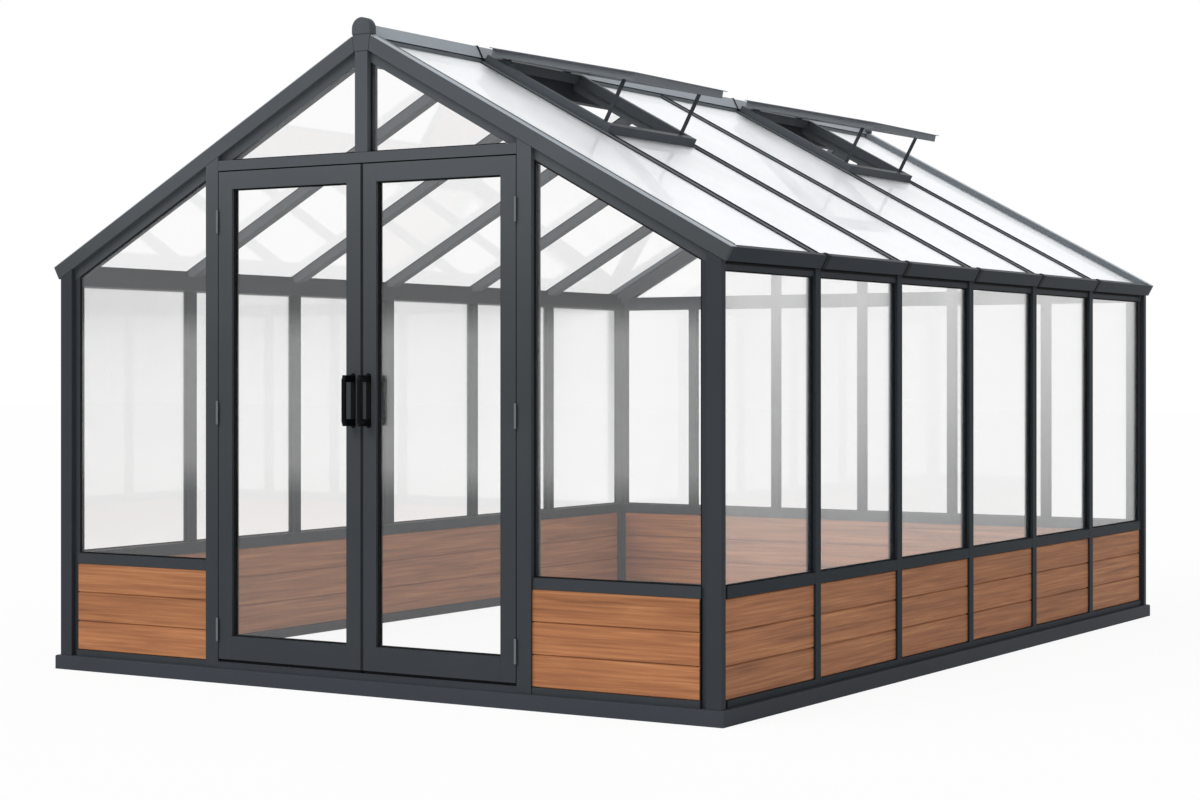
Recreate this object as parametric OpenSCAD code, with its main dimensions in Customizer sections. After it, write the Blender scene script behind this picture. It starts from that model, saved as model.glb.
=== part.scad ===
// Garden greenhouse: aluminium frame, glass walls and roof, timber-look knee wall,
// a pair of glazed doors in the front gable and two top-hung roof vents.
// Frame: X across the front, Y from the front wall to the back wall, Z up, millimetres.

/* [Frame] */
// Outer width of the frame across the side walls
frame_w = 3000; // [2600:10:3600]
// Outer length of the frame from the front wall to the back wall
frame_l = 4260; // [3900:10:5400]
// Slope of the roof in degrees
pitch = 28.5; // [26:0.5:32]
// Height of the barge boards' top line at the ridge
apex_z = 2430; // [2400:10:2700]
// Reach of the roof edge past each side wall
eave_reach = 36; // [30:2:60]
// Depth of the wall profiles
frame_d = 62; // [58:1:70]

/* [Base and knee wall] */
// Height of the base rails
base_h = 55; // [40:1:80]
// How far the base stands proud of the walls
base_proud = 15; // [8:1:30]
// Height of the sill rails on the base
sill_h = 25; // [20:1:40]
// Face height of one knee wall board
board_h = 114; // [90:1:140]
// Number of board rows
board_rows = 3; // [2:1:4]
// Thickness of a board
board_t = 18; // [12:1:22]
// Height of the rail between the boards and the glass
mid_rail_h = 40; // [30:1:60]
// Height of the base's lip under the lining boards
lip_h = 42; // [30:1:50]
// Thickness of a lining board on the knee wall's inner side
lining_t = 14; // [10:1:16]
// Height of the inner rail over the lining boards
inner_rail_h = 47; // [40:1:60]

/* [Walls] */
// Face width of a corner post
post_face = 58; // [50:1:66]
// Width of a mullion and of its cover cap
mullion_w = 42; // [40:1:60]
// Depth of the mullions from the outer wall plane
mullion_d = 46; // [42:1:50]
// Face width of a door jamb
jamb_w = 60; // [45:1:80]
// Width of the king post over the doors
king_w = 57; // [40:1:70]
// Thickness of the panes
glass_t = 4; // [3:1:6]

/* [Doors] */
// Clear width between the door jambs
doorway_w = 1366; // [1200:2:1400]
// Depth of the door header's underside below the rafters at the door jambs
header_drop = 12; // [6:1:20]
// Height of the door header
header_h = 38; // [30:1:60]
// Thickness of a door leaf
leaf_t = 40; // [36:1:44]
// Width of a door stile
stile_w = 65; // [50:1:80]
// Height of a door's top rail
top_rail_h = 66; // [50:1:90]
// Height of a door's bottom rail
bottom_rail_h = 88; // [60:1:120]
// Height of the middle of the pull handles
handle_z = 1076; // [900:5:1200]
// Length of a pull handle
handle_h = 186; // [140:2:260]

/* [Roof and vents] */
// Height of the roof bars' inner body across the slope
bar_d = 34; // [28:1:44]
// Angle of the open vents
vent_open = 16.5; // [12:0.5:20]
// Length of a vent sash down the slope
vent_l = 662; // [600:2:720]
// Height of the vent sash frame
sash_t = 30; // [26:1:36]

/* [Hidden] */
$fn = 48;

metal = [0.25, 0.27, 0.29];
dark = [0.16, 0.17, 0.18];
black = [0.07, 0.07, 0.08];
wood = [0.66, 0.44, 0.30];
pane = [0.80, 0.88, 0.90, 0.35];
steel = [0.62, 0.63, 0.64];

hw = frame_w / 2;
// reach of the pull handles in front of the doors
handle_reach = 62;
front_y = -frame_l / 2 + (handle_reach - base_proud) / 2;
back_y = front_y + frame_l;
base_in = 60;
base_chamfer = 4;
board_bevel = 5;
groove_h = 4;
groove_d = 7;
front_board_d = 8;
wall_board_d = 16;
// rubber strip between the front boards and the post
board_end = 4;
seal_set = 4;
seal_w = 5.5;
sill_z = base_h + sill_h;
knee_z = sill_z + board_rows * board_h;
glass_z = knee_z + mid_rail_h;
// depths from the outer wall plane
cap_d = 8;
rail_d = 8.5;
front_sill_d = 4;
front_rail_d = 10;
flange_d = 20;
glass_d = 24;
body_d = glass_d + glass_t;
post_flange = post_face + 26;
post_slot = 18;
post_side = 30;
post_side_in = 58;
joint = 1.5;
joint_d = 6;
// hairline gap between neighbouring pieces of one kind
gap = 0.2;
// the lining boards stand inside the mullions, between the legs of the inner corner angles
lining_d = mullion_d + gap;
lining_face = lining_d + lining_t;
lining_h = (glass_z - inner_rail_h - lip_h) / board_rows;
angle_x = 92;
angle_y = 98;
door_in = doorway_w / 2;
jamb_out = door_in + jamb_w;
half_mullion = mullion_w / 2;
// a mullion's stem between the panes, and how far a pane reaches under the cap
stem_half = half_mullion - 10;
pane_in = 8;
function pane_reach(k, corner) = k == corner ? post_slot - 2 : pane_in;

// roof stack, measured square to the slope from the barge boards' top line
barge_t = 20;
barge_w = 52;
rafter_w = 90;
// bedding gap between a pane or an upright and the profile that it meets
bed = 0.1;
seat = -rafter_w - bed;
under_glass = -26;
rest = under_glass - bed;
over_glass = under_glass + glass_t;
bar_under = under_glass - bar_d;
cap_top = over_glass + 6;
strip_top = over_glass + 12;
strip_u = 20;
tip_u = (hw + eave_reach) / cos(pitch);
skin_x = hw - 16;
beam_x = hw - frame_d;
// the eave beam's shelf, on which the roof bars rest, ends at this rebate
shelf_x = skin_x - 22;
flutes = [14, 34];
flute_h = 4;
flute_d = 3;
cover_half = 14;
cover_t = 2.5;
ridge_half = 25;
riser_half = 24;
ridge_depth = 126;
ridge_bottom = apex_z - ridge_depth;
cap_bottom = apex_z - 22;
ridge_foot = 30;
ridge_crest = 6;
ridge_top = apex_z + 25;
saddle_w = 8;
// roof bars: body, stem between the panes, cover cap, and the strip under the ridge
bar_half = 25;
bar_stem = 6;
bar_cap = 13;
pane_gap = 8;
strip_x = 46;

function roof_z(x, w) = apex_z - abs(x) * tan(pitch) + w / cos(pitch);
function on_roof(u, w) = [u * cos(pitch) + w * sin(pitch), apex_z - u * sin(pitch) + w * cos(pitch)];
function above(w, x0, x1) =
    [[x0, roof_z(x0, w)], [x1, roof_z(x1, w)], [x1, 2 * apex_z], [x0, 2 * apex_z]];
function sloped(x0, x1, w0, w1) =
    [[x0, roof_z(x0, w0)], [x1, roof_z(x1, w0)], [x1, roof_z(x1, w1)], [x0, roof_z(x0, w1)]];
// a beam across a gable whose upper corners are cut under the rafters
function cut_x(z, w) = (roof_z(0, w) - z) / tan(pitch);
function beam_points(xm, z0, z1, w) = roof_z(xm, w) >= z1
    ? [[-xm, z0], [xm, z0], [xm, z1], [-xm, z1]]
    : [[-xm, z0], [xm, z0], [xm, roof_z(xm, w)], [cut_x(z1, w), z1], [-cut_x(z1, w), z1],
        [-xm, roof_z(xm, w)]];

doorway_z = round(roof_z(door_in, -rafter_w) - header_drop);
header_z = doorway_z + header_h;
eave_drop = 1;
transom_h = 64;
eave_z = roof_z(hw - flange_d, -rafter_w) - eave_drop;
transom_z = eave_z + transom_h;
side_clear = (frame_l - 2 * post_side_in - 5 * mullion_w) / 6;
bay_pitch = side_clear + mullion_w;
function bar_y(k) = front_y + post_side_in + bay_pitch * k - half_mullion;
function bay_a(k) = k == 0 ? front_y + post_side_in : bar_y(k) + half_mullion;
function bay_b(k) = bay_a(k) + side_clear;
function bay_mid(k) = (bar_y(k) + bar_y(k + 1)) / 2;
function back_x(k) = frame_w / 6 * (k - 3);
function back_a(k) = k == 0 ? -(hw - post_flange) : back_x(k) + half_mullion;
function back_b(k) = k == 5 ? hw - post_flange : back_x(k + 1) - half_mullion;

// doors
leaf_z = sill_z + 11;
upstand_z = leaf_z + 9;
stop_w = 12;
stop_clear = 2;
leaf_top = doorway_z - 5;
meet = 3;
leaf_out = door_in - 4;
hinge_x = door_in - 2;
hinge_d = -6;
hinge_h = 87;
hinge_low = 111;
hinge_high = 189;
hinge_mid = 10;
hinge_zs = [leaf_z + hinge_low, (leaf_z + leaf_top) / 2 + hinge_mid, leaf_top - hinge_high];
// knuckle and pin radii, the running clearance's bore and the thickness of a hinge plate
knuckle_r = 5.5;
door_pin_r = 2.5;
bore_r = door_pin_r + 0.05;
plate_t = 1.6;
plate_d = 30;
plate_lift = 0.3;
tab_wall = 0.85;
plate_set = 2;
pin_head = 1.5;
middle_half = 14.25;
outer_start = middle_half + 0.5;
pane_d = leaf_t / 2 - glass_t / 2;
pane_slot = 8;
pane_bite = 6;
rebate = 6;
handle_x = meet + stile_w / 2;
// half width of the grip, its thickness, and its posts and back plate
grip_r = 9;
grip_t = 12;
post_half = 8;
post_rise = 10;
post_inset = 17;
back_plate_t = 3;
back_plate_half = 10;
back_plate_inset = 3;

// vents
VENTS = [1, 4];
pivot_u = 60;
pivot_w = 22.5;
// hinge pin, its running clearance, and the barrels on the curb and the sash
vent_pin_r = 4;
run_clear = 0.05;
barrel_r = 7.5;
barrel_half = 13;
lug_w = 12;
lug_half = 6;
lug_gap = 0.5;
vent_hinge_y = 220;
pin_half = barrel_half + lug_w + 2;
vent_rail = 30;
lip_t = 3;
lip_side = 22;
lip_low = 6;
curb_top = 14;
curb_u = 74;
curb_set = 16;
curb_toe = 2;
// the bar under the crossbar and the lower pane's lap reach past the crossbar's edges
bar_front = 4;
bar_back = 6;
pane_lap = 10;
pane_drop = 8;
curb_half = bay_pitch / 2 - curb_set;
curb_in = curb_half - vent_rail;
sash_half = bay_pitch / 2 - 5;
sash_in = sash_half - vent_rail;
sash_step = 8;
sash_u = pivot_u + sash_step;
sash_end = sash_u + vent_l;
sash_lift = 1.5;
sash_w = curb_top + sash_lift;
sash_top = sash_w + sash_t;
cross_set = 76;
cross_u = sash_end - cross_set;
stay_l = 190;
stay_t = 4;
stay_r = 8;
stay_in = 11.5;
stay_half = curb_in - stay_t - stay_in;
stay_set = 22.3;
stay_rest_u = cross_u - stay_set;
stay_foot_w = 4.5;
peg_gap = 0.4;
// shoulder and head of a stay's upper pin
shoulder_r = 7;
head_t = 3;
// the stay's upper pivot, first in the open pose and then carried back to the closed sash
stay_open = [stay_rest_u - pivot_u, stay_foot_w + stay_l - pivot_w];
stay_pin = [pivot_u + stay_open[0] * cos(vent_open) + stay_open[1] * sin(vent_open),
    pivot_w - stay_open[0] * sin(vent_open) + stay_open[1] * cos(vent_open)];

module box(x0, x1, y0, y1, z0, z1) translate([x0, y0, z0]) cube([x1 - x0, y1 - y0, z1 - z0]);
module along_x(x0, x1, points)
    translate([x0, 0, 0]) rotate([90, 0, 90]) linear_extrude(x1 - x0) polygon(points);
module along_y(y0, y1, points)
    translate([0, y1, 0]) rotate([90, 0, 0]) linear_extrude(y1 - y0) polygon(points);
module upright(z0, z1, points) translate([0, 0, z0]) linear_extrude(z1 - z0) polygon(points);
module rod_y(x, z, y0, y1, r) translate([x, y1, z]) rotate([90, 0, 0]) cylinder(r = r, h = y1 - y0);

// depth frames: local y runs inward from the front or back wall plane
module front() translate([0, front_y, 0]) children();
module back() translate([0, back_y, 0]) mirror([0, 1, 0]) children();
// the same piece at both ends of a bay
module turned() {
    children();
    mirror([0, 1, 0]) children();
}
module pair() {
    children();
    mirror([1, 0, 0]) children();
}
module gables() {
    front() children();
    back() children();
}
// local x runs inward from the side wall planes
module sides() pair() translate([hw, 0, 0]) mirror([1, 0, 0]) children();
// right slope: local x down the slope, local z square to it
module slope() translate([0, 0, apex_z]) rotate([0, pitch, 0]) children();
// an upright piece of a gable wall whose top is cut parallel to the roof
module under_roof(d0, d1, xa, xb, z0, w) along_y(d0, d1, xa < 0 && xb > 0
    ? [[xa, z0], [xb, z0], [xb, roof_z(xb, w)], [0, roof_z(0, w)], [xa, roof_z(xa, w)]]
    : [[xa, z0], [xb, z0], [xb, roof_z(xb, w)], [xa, roof_z(xa, w)]]);

lip = [[base_in, lip_h], [mullion_d, lip_h], [mullion_d, base_h]];
function base_profile(inner) = concat([[-base_proud, 0], [base_in, 0]], inner,
    [[-base_proud + base_chamfer, base_h], [-base_proud, base_h - base_chamfer]]);
// a board between its face and its back, bevelled at the top and rebated at the foot
function board_points(face, back, z, h) = let (s = sign(back - face)) [[back, z], [back, z + h - gap],
    [face + s * board_bevel, z + h - gap], [face, z + h - board_bevel], [face, z + groove_h],
    [face + s * groove_d, z + groove_h], [face + s * groove_d, z]];
function board_profile(d, i) = board_points(d, d + board_t, sill_z + i * board_h, board_h);
function lining_profile(i) = board_points(lining_face, lining_d, lip_h + i * lining_h, lining_h);
function mullion_profile() = [[-stem_half, glass_d], [stem_half, glass_d], [stem_half, body_d],
    [half_mullion, body_d], [half_mullion, mullion_d], [-half_mullion, mullion_d],
    [-half_mullion, body_d], [-stem_half, body_d]];

module base_rails() color(metal) {
    gables() along_x(-(hw - base_in), hw - base_in, base_profile(lip));
    sides() along_y(front_y + base_in, back_y - base_in, base_profile(lip));
}

// the joiners carry both rails' outer faces round the corner, and the lip in the inner corner
module base_corner_joiners() color(metal) pair() gables() translate([hw, 0, 0]) mirror([1, 0, 0])
    difference() {
        intersection() {
            along_x(-base_proud, base_in, base_profile([[base_in, base_h]]));
            along_y(-base_proud, base_in, base_profile([[base_in, base_h]]));
        }
        box(mullion_d, base_in + 1, mullion_d, base_in + 1, lip_h, base_h + 1);
    }

module corner_posts() color(metal) pair() gables() {
    corner_post();
    inner_angle();
}
module corner_post() difference() {
    upright(base_h, roof_z(hw - post_flange, -barge_w) + 5, [for (p = [[0, 0], [post_face, 0],
        [post_face, flange_d], [post_flange, flange_d], [post_flange, glass_d],
        [post_flange - post_slot, glass_d], [post_flange - post_slot, body_d], [post_flange, body_d],
        [post_flange, mullion_d], [frame_d, mullion_d], [frame_d, post_side_in],
        [body_d, post_side_in], [body_d, post_side_in - post_slot],
        [glass_d, post_side_in - post_slot], [glass_d, post_side_in], [flange_d, post_side_in],
        [flange_d, post_side], [0, post_side]]) [hw - p[0], p[1]]]);
    along_y(-1, barge_t, above(-barge_w - joint, 0, frame_w));
    along_y(barge_t, 2 * frame_d, above(seat, 0, skin_x));
    along_y(barge_t, 2 * frame_d, above(-barge_w, skin_x, frame_w));
}
// closes the corner between two linings, up to the foot of the glass
module inner_angle() upright(lip_h, glass_z, [for (p = [[lining_d, post_side_in + gap],
    [frame_d + gap, post_side_in + gap], [frame_d + gap, lining_d], [angle_x, lining_d],
    [angle_x, frame_d], [frame_d, frame_d], [frame_d, angle_y], [lining_d, angle_y]])
    [hw - p[0], p[1]]]);

// the jambs step inward: cover, body behind the base, and the part over the base's lip
module front_jambs() color(metal) front() pair() union() {
    under_roof(0, barge_t, door_in, jamb_out, base_h, -barge_w - joint);
    under_roof(barge_t, mullion_d, door_in, jamb_out, base_h, seat);
    under_roof(mullion_d, frame_d, door_in, jamb_out, lip_h, seat);
}

module door_header() color(metal) front() union() {
    box(-door_in + joint, door_in - joint, 0, joint_d, doorway_z, header_z);
    box(-door_in, door_in, joint_d, barge_t, doorway_z, header_z);
    along_y(barge_t, frame_d, beam_points(door_in, doorway_z, header_z, seat));
}

module door_threshold() color(metal) front() along_x(-door_in, door_in, [[0, base_h],
    [mullion_d, base_h], [mullion_d, lip_h], [base_in, lip_h], [base_in, upstand_z],
    [leaf_t + rebate, upstand_z], [leaf_t + rebate, sill_z], [0, sill_z]]);

module door_stops() color(black) front() {
    d0 = leaf_t + stop_clear;
    pair() box(door_in - stop_w, door_in, d0, d0 + stop_w, upstand_z, doorway_z - stop_w - gap);
    box(-door_in, door_in, d0, d0 + stop_w, doorway_z - stop_w, doorway_z);
}

module king_post() color(metal) front() union() {
    box(-king_w / 2, king_w / 2, 0, joint_d, header_z + joint, boss_z - joint);
    box(-king_w / 2, king_w / 2, joint_d, barge_t, header_z, boss_z - joint);
    under_roof(barge_t, frame_d, -king_w / 2, king_w / 2, header_z, seat);
}

module front_sill_rails() color(metal) front() pair()
    box(jamb_out, hw - post_flange, front_sill_d, mullion_d, base_h, sill_z);

// each knee wall has a rail between its posts or mullions and one through rail inside them
module front_mid_rails() color(metal) front() pair() {
    box(jamb_out, hw - post_flange, front_rail_d, mullion_d, knee_z, glass_z);
    box(jamb_out, hw - angle_x, lining_d, frame_d, glass_z - inner_rail_h, glass_z);
}

module front_boards() color(wood) front() for (i = [0 : board_rows - 1]) pair() {
    along_x(jamb_out, hw - post_flange - board_end, board_profile(front_board_d, i));
    along_x(jamb_out, hw - angle_x, lining_profile(i));
}

module front_glass() color(pane) front() pair()
    under_roof(glass_d, body_d, jamb_out, hw - post_flange + post_slot - 2, glass_z, seat);

module gable_glass() color(pane) {
    front() pair() along_y(glass_d, body_d, [[king_w / 2, header_z],
        [cut_x(header_z, seat), header_z], [king_w / 2, roof_z(king_w / 2, seat)]]);
    back() pair() {
        a = half_mullion - pane_in;
        b = back_x(4) + a;
        under_roof(glass_d, body_d, a, back_x(4) - a, transom_z, seat);
        along_y(glass_d, body_d, [[b, transom_z], [cut_x(transom_z, seat), transom_z],
            [b, roof_z(b, seat)]]);
    }
}

module side_sill_rails() color(metal) for (k = [0 : 5]) sides()
    box(cap_d, mullion_d, bay_a(k), bay_b(k), base_h, sill_z);

module side_mid_rails() color(metal) sides() {
    for (k = [0 : 5]) box(rail_d, mullion_d, bay_a(k), bay_b(k), knee_z, glass_z);
    box(lining_d, frame_d, front_y + angle_y, back_y - angle_y, glass_z - inner_rail_h, glass_z);
}

module side_mullions() color(metal) for (k = [1 : 5]) sides()
    upright(base_h, eave_z, [for (p = mullion_profile()) [p[1], bar_y(k) + p[0]]]);

module side_mullion_caps() color(metal) for (k = [1 : 5]) pair()
    translate([0, bar_y(k), 0]) union() {
        box(hw - glass_d, hw - cap_d, -half_mullion, half_mullion, base_h, eave_z);
        along_y(-half_mullion, half_mullion, [[skin_x, eave_z], [hw - cap_d, eave_z],
            [hw - cap_d, roof_z(hw - cap_d, -barge_w)], [skin_x, roof_z(skin_x, -barge_w)]]);
    }

module side_boards() color(wood) sides() for (i = [0 : board_rows - 1]) {
    for (k = [0 : 5]) along_y(bay_a(k), bay_b(k), board_profile(wall_board_d, i));
    along_y(front_y + angle_y, back_y - angle_y, lining_profile(i));
}

module side_glass() color(pane) for (k = [0 : 5]) sides()
    box(glass_d, body_d, bay_a(k) - pane_reach(k, 0), bay_b(k) + pane_reach(k, 5), glass_z, eave_z);

module back_sill_rails() color(metal) back() for (k = [0 : 5])
    box(back_a(k), back_b(k), cap_d, mullion_d, base_h, sill_z);

module back_mid_rails() color(metal) back() {
    for (k = [0 : 5]) box(back_a(k), back_b(k), rail_d, mullion_d, knee_z, glass_z);
    box(angle_x - hw, hw - angle_x, lining_d, frame_d, glass_z - inner_rail_h, glass_z);
}

module back_mullions() color(metal) back() {
    for (k = [1 : 5]) upright(base_h, eave_z, [for (p = mullion_profile()) [back_x(k) + p[0], p[1]]]);
    for (k = [2 : 4]) union() {
        under_roof(glass_d, body_d, back_x(k) - stem_half, back_x(k) + stem_half, transom_z, seat);
        under_roof(body_d, mullion_d, back_x(k) - half_mullion, back_x(k) + half_mullion, transom_z,
            seat);
    }
}

module back_mullion_caps() color(metal) back() {
    for (k = [1 : 5])
        box(back_x(k) - half_mullion, back_x(k) + half_mullion, cap_d, glass_d, base_h, eave_z);
    for (k = [2 : 4])
        under_roof(cap_d, glass_d, back_x(k) - half_mullion, back_x(k) + half_mullion,
            transom_z, seat);
}

module back_transom() color(metal) back()
    along_y(rail_d, frame_d, beam_points(hw - post_flange, eave_z, transom_z, seat));

module back_boards() color(wood) back() for (i = [0 : board_rows - 1]) {
    for (k = [0 : 5]) along_x(back_a(k), back_b(k), board_profile(wall_board_d, i));
    along_x(angle_x - hw, hw - angle_x, lining_profile(i));
}

module back_glass() color(pane) back() for (k = [0 : 5])
    box(back_a(k) - pane_reach(k, 0), back_b(k) + pane_reach(k, 5), glass_d, body_d, glass_z, eave_z);

module eave_beams() color(metal) pair() along_y(front_y + frame_d, back_y - frame_d,
    concat([[beam_x, eave_z], [skin_x, eave_z], [skin_x, roof_z(skin_x, rest - bed)],
        [shelf_x, roof_z(shelf_x, rest - bed)], [shelf_x, roof_z(shelf_x, bar_under - bed)],
        [beam_x, roof_z(beam_x, bar_under - bed)]],
        [for (i = [1, 0]) let (z = eave_z + flutes[i]) each [[beam_x, z + flute_h],
            [beam_x + flute_d, z + flute_h], [beam_x + flute_d, z], [beam_x, z]]]));

function fascia_profile() = [[skin_x, roof_z(skin_x, -barge_w)], on_roof(tip_u, -barge_w),
    on_roof(tip_u, 0), on_roof(tip_u - strip_u, 0), on_roof(tip_u - strip_u, rest - bed),
    [skin_x, roof_z(skin_x, rest - bed)]];

module eave_fascias() color(metal) for (k = [0 : 5]) pair()
    along_y(k == 0 ? front_y + barge_t : bar_y(k) + joint / 2,
        k == 5 ? back_y - barge_t : bar_y(k + 1) - joint / 2, fascia_profile());

module eave_joint_covers() color(dark) for (k = [1 : 5]) pair()
    along_y(bar_y(k) - cover_half, bar_y(k) + cover_half, [on_roof(tip_u, -barge_w),
        on_roof(tip_u + cover_t, -barge_w), on_roof(tip_u + cover_t, cover_t),
        on_roof(tip_u - strip_u, cover_t), on_roof(tip_u - strip_u, 0), on_roof(tip_u, 0)]);

module gable_rafters() color(metal) gables() pair()
    along_y(barge_t, frame_d, sloped(gap, skin_x, -rafter_w, rest));

// the finial's boss widens upward and the barge boards meet its slanted sides
boss_half = 32;
head_half = 41.5;
head_r = 52;
finial_l = 86;
finial_proud = 4;
head_z = apex_z - 4;
head_top = apex_z + 47;
boss_z = roof_z(boss_half, -barge_w);
boss_slant = (head_half - boss_half) / (head_z - boss_z);
function boss_x(w) =
    (boss_half + joint + boss_slant * (roof_z(0, w) - boss_z)) / (1 + boss_slant * tan(pitch));

module barge_boards() color(metal) gables() pair() along_y(0, barge_t, [
    [boss_x(-barge_w), roof_z(boss_x(-barge_w), -barge_w)], on_roof(tip_u, -barge_w),
    on_roof(tip_u, 0), [boss_x(0), roof_z(boss_x(0), 0)]]);

module ridge_beam() color(metal) {
    along_y(front_y + frame_d, back_y - frame_d, [[-ridge_half, ridge_bottom],
        [ridge_half, ridge_bottom], [ridge_half, roof_z(ridge_half, under_glass)],
        [0, roof_z(0, under_glass)], [-ridge_half, roof_z(ridge_half, under_glass)]]);
    along_y(front_y + barge_t, back_y - barge_t, [[0, roof_z(0, under_glass)],
        [riser_half, roof_z(riser_half, under_glass)], [riser_half, cap_bottom],
        [-riser_half, cap_bottom], [-riser_half, roof_z(riser_half, under_glass)]]);
}

function ridge_profile(grow) = [[-ridge_foot - grow, cap_bottom], [ridge_foot + grow, cap_bottom],
    [ridge_crest + grow * 0.7, ridge_top + grow], [-ridge_crest - grow * 0.7, ridge_top + grow]];

module ridge_caps() color(metal)
    for (s = [[front_y + finial_l, bar_y(1) - saddle_w / 2], [bar_y(1) + saddle_w / 2,
        bar_y(4) - saddle_w / 2], [bar_y(4) + saddle_w / 2, back_y - finial_l]])
        along_y(s[0], s[1], ridge_profile(0));

module ridge_saddles() color(black) for (k = [1, 4]) {
    y0 = bar_y(k) - saddle_w / 2;
    along_y(y0, y0 + saddle_w, ridge_profile(3));
    pair() along_y(y0, y0 + saddle_w, [[ridge_half, ridge_bottom],
        [(roof_z(0, bar_under) - ridge_bottom) / tan(pitch), ridge_bottom],
        [ridge_half, roof_z(ridge_half, bar_under)]]);
}

module finials() color(metal) gables() union() {
    along_y(0, barge_t, [[-boss_half, boss_z], [boss_half, boss_z], [head_half, head_z],
        [-head_half, head_z]]);
    box(-riser_half, riser_half, barge_t, finial_l, cap_bottom, head_z);
    intersection() {
        box(-head_half, head_half, -finial_proud, finial_l, head_z, head_top + 1);
        rod_y(0, head_top - head_r, -finial_proud, finial_l, head_r);
    }
}

glass_end = tip_u - strip_u - bed;
function glass_slab(w0, w1) = [[riser_half, roof_z(riser_half, w0)], on_roof(glass_end, w0),
    on_roof(glass_end, w1), [riser_half, roof_z(riser_half, w1)]];

module roof_bars() color(metal) for (k = [1 : 5]) pair() union() {
    along_y(bar_y(k) - bar_half, bar_y(k) + bar_half,
        sloped(ridge_half, shelf_x - gap, bar_under, rest));
    along_y(bar_y(k) - bar_stem, bar_y(k) + bar_stem, glass_slab(rest, over_glass));
}

module ridge_strip(k) along_y(k == 0 ? front_y + barge_t : bar_y(k) + bar_cap + gap,
    k == 5 ? back_y - barge_t : bar_y(k + 1) - bar_cap - gap,
    [[riser_half, roof_z(riser_half, over_glass + bed)], on_roof(strip_x, over_glass + bed),
        on_roof(strip_x, strip_top), [riser_half, roof_z(riser_half, strip_top)]]);

module roof_bar_caps() color(metal) {
    for (k = [1 : 5]) pair()
        along_y(bar_y(k) - bar_cap, bar_y(k) + bar_cap, glass_slab(over_glass + bed, cap_top));
    for (k = [0 : 5]) mirror([1, 0, 0]) ridge_strip(k);
    for (k = [0, 2, 3, 5]) ridge_strip(k);
}

function pane_a(k) = k == 0 ? front_y + barge_t : bar_y(k) + pane_gap;
function pane_b(k) = k == 5 ? back_y - barge_t : bar_y(k + 1) - pane_gap;

module left_roof_glass() color(pane) mirror([1, 0, 0]) for (k = [0 : 5])
    along_y(pane_a(k), pane_b(k), glass_slab(under_glass, over_glass));

module right_roof_glass() color(pane) {
    for (k = [0, 2, 3, 5]) along_y(pane_a(k), pane_b(k), glass_slab(under_glass, over_glass));
    for (k = VENTS) slope()
        box(cross_u + pane_lap, glass_end, pane_a(k), pane_b(k), under_glass, over_glass);
}

// gaskets lie on the outer face of the glass, along the frame
module gasket_rect(x0, x1, z0, z1) {
    box(x0, x0 + seal_w, flange_d, glass_d, z0, z1);
    box(x1 - seal_w, x1, flange_d, glass_d, z0, z1);
    box(x0 + seal_w, x1 - seal_w, flange_d, glass_d, z0, z0 + seal_w);
    box(x0 + seal_w, x1 - seal_w, flange_d, glass_d, z1 - seal_w, z1);
}
module gasket_slope(x0, x1, z0) {
    under_roof(flange_d, glass_d, x0, x0 + seal_w, z0, seat);
    under_roof(flange_d, glass_d, x1 - seal_w, x1, z0, seat);
    box(x0 + seal_w, x1 - seal_w, flange_d, glass_d, z0, z0 + seal_w);
    along_y(flange_d, glass_d, sloped(x0 + seal_w, x1 - seal_w, seat - seal_w, seat));
}

module glazing_seals() color(black) {
    front() pair() {
        gasket_slope(jamb_out, hw - post_flange, glass_z);
        box(hw - post_flange - board_end, hw - post_flange, front_board_d + seal_set,
            front_board_d + board_t, sill_z, knee_z);
        box(king_w / 2, king_w / 2 + seal_w, flange_d, glass_d, header_z,
            roof_z(king_w / 2 + seal_w, seat));
        box(king_w / 2 + seal_w, cut_x(header_z + seal_w, seat), flange_d, glass_d, header_z,
            header_z + seal_w);
    }
    pair() translate([hw, 0, 0]) rotate([0, 0, 90]) for (k = [0 : 5])
        gasket_rect(bay_a(k), bay_b(k), glass_z, eave_z);
    back() for (k = [0 : 5]) gasket_rect(back_a(k), back_b(k), glass_z, eave_z);
}

// two side rails, a top member fitted to the ridge, a lower crossbar on the glass and
// a bar under it; hinge lugs stand on the top member
module vent_curb(k) {
    y = bay_mid(k);
    along_y(y - curb_half, y + curb_half, [[riser_half, roof_z(riser_half, under_glass)],
        on_roof(curb_u, under_glass), on_roof(curb_u, curb_top), on_roof(curb_u - vent_rail, curb_top),
        [riser_half, roof_z(riser_half, over_glass + curb_toe)]]);
    slope() translate([0, y, 0]) {
        turned() {
            box(curb_u + gap, cross_u - gap, curb_in, curb_half, under_glass, curb_top);
            for (e = [-1, 1]) curb_lug(vent_hinge_y + e * (barrel_half + lug_w / 2 + lug_gap));
        }
        box(cross_u, cross_u + vent_rail, -curb_half, curb_half, over_glass, curb_top);
        box(cross_u - bar_front, cross_u + vent_rail + bar_back, bar_half - bay_pitch / 2,
            bay_pitch / 2 - bar_half, bar_under, rest - bed);
    }
}
module curb_lug(y) difference() {
    union() {
        rod_y(pivot_u, pivot_w, y - lug_w / 2, y + lug_w / 2, barrel_r);
        box(pivot_u - lug_half, pivot_u + lug_half, y - lug_w / 2, y + lug_w / 2, curb_top, pivot_w);
    }
    rod_y(pivot_u, pivot_w, y - lug_w, y + lug_w, vent_pin_r);
}

module vent_curbs() color(metal) for (k = VENTS) vent_curb(k);

// the hinge pins, and a short pin in each side of the curb at the foot of its stay
module vent_hinge_pins() color(steel) for (k = VENTS) slope() translate([0, bay_mid(k), 0]) turned() {
    rod_y(pivot_u, pivot_w, vent_hinge_y - pin_half, vent_hinge_y + pin_half, vent_pin_r);
    rod_y(stay_rest_u, stay_foot_w, stay_half + stay_t + peg_gap, curb_in, vent_pin_r);
}

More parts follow.
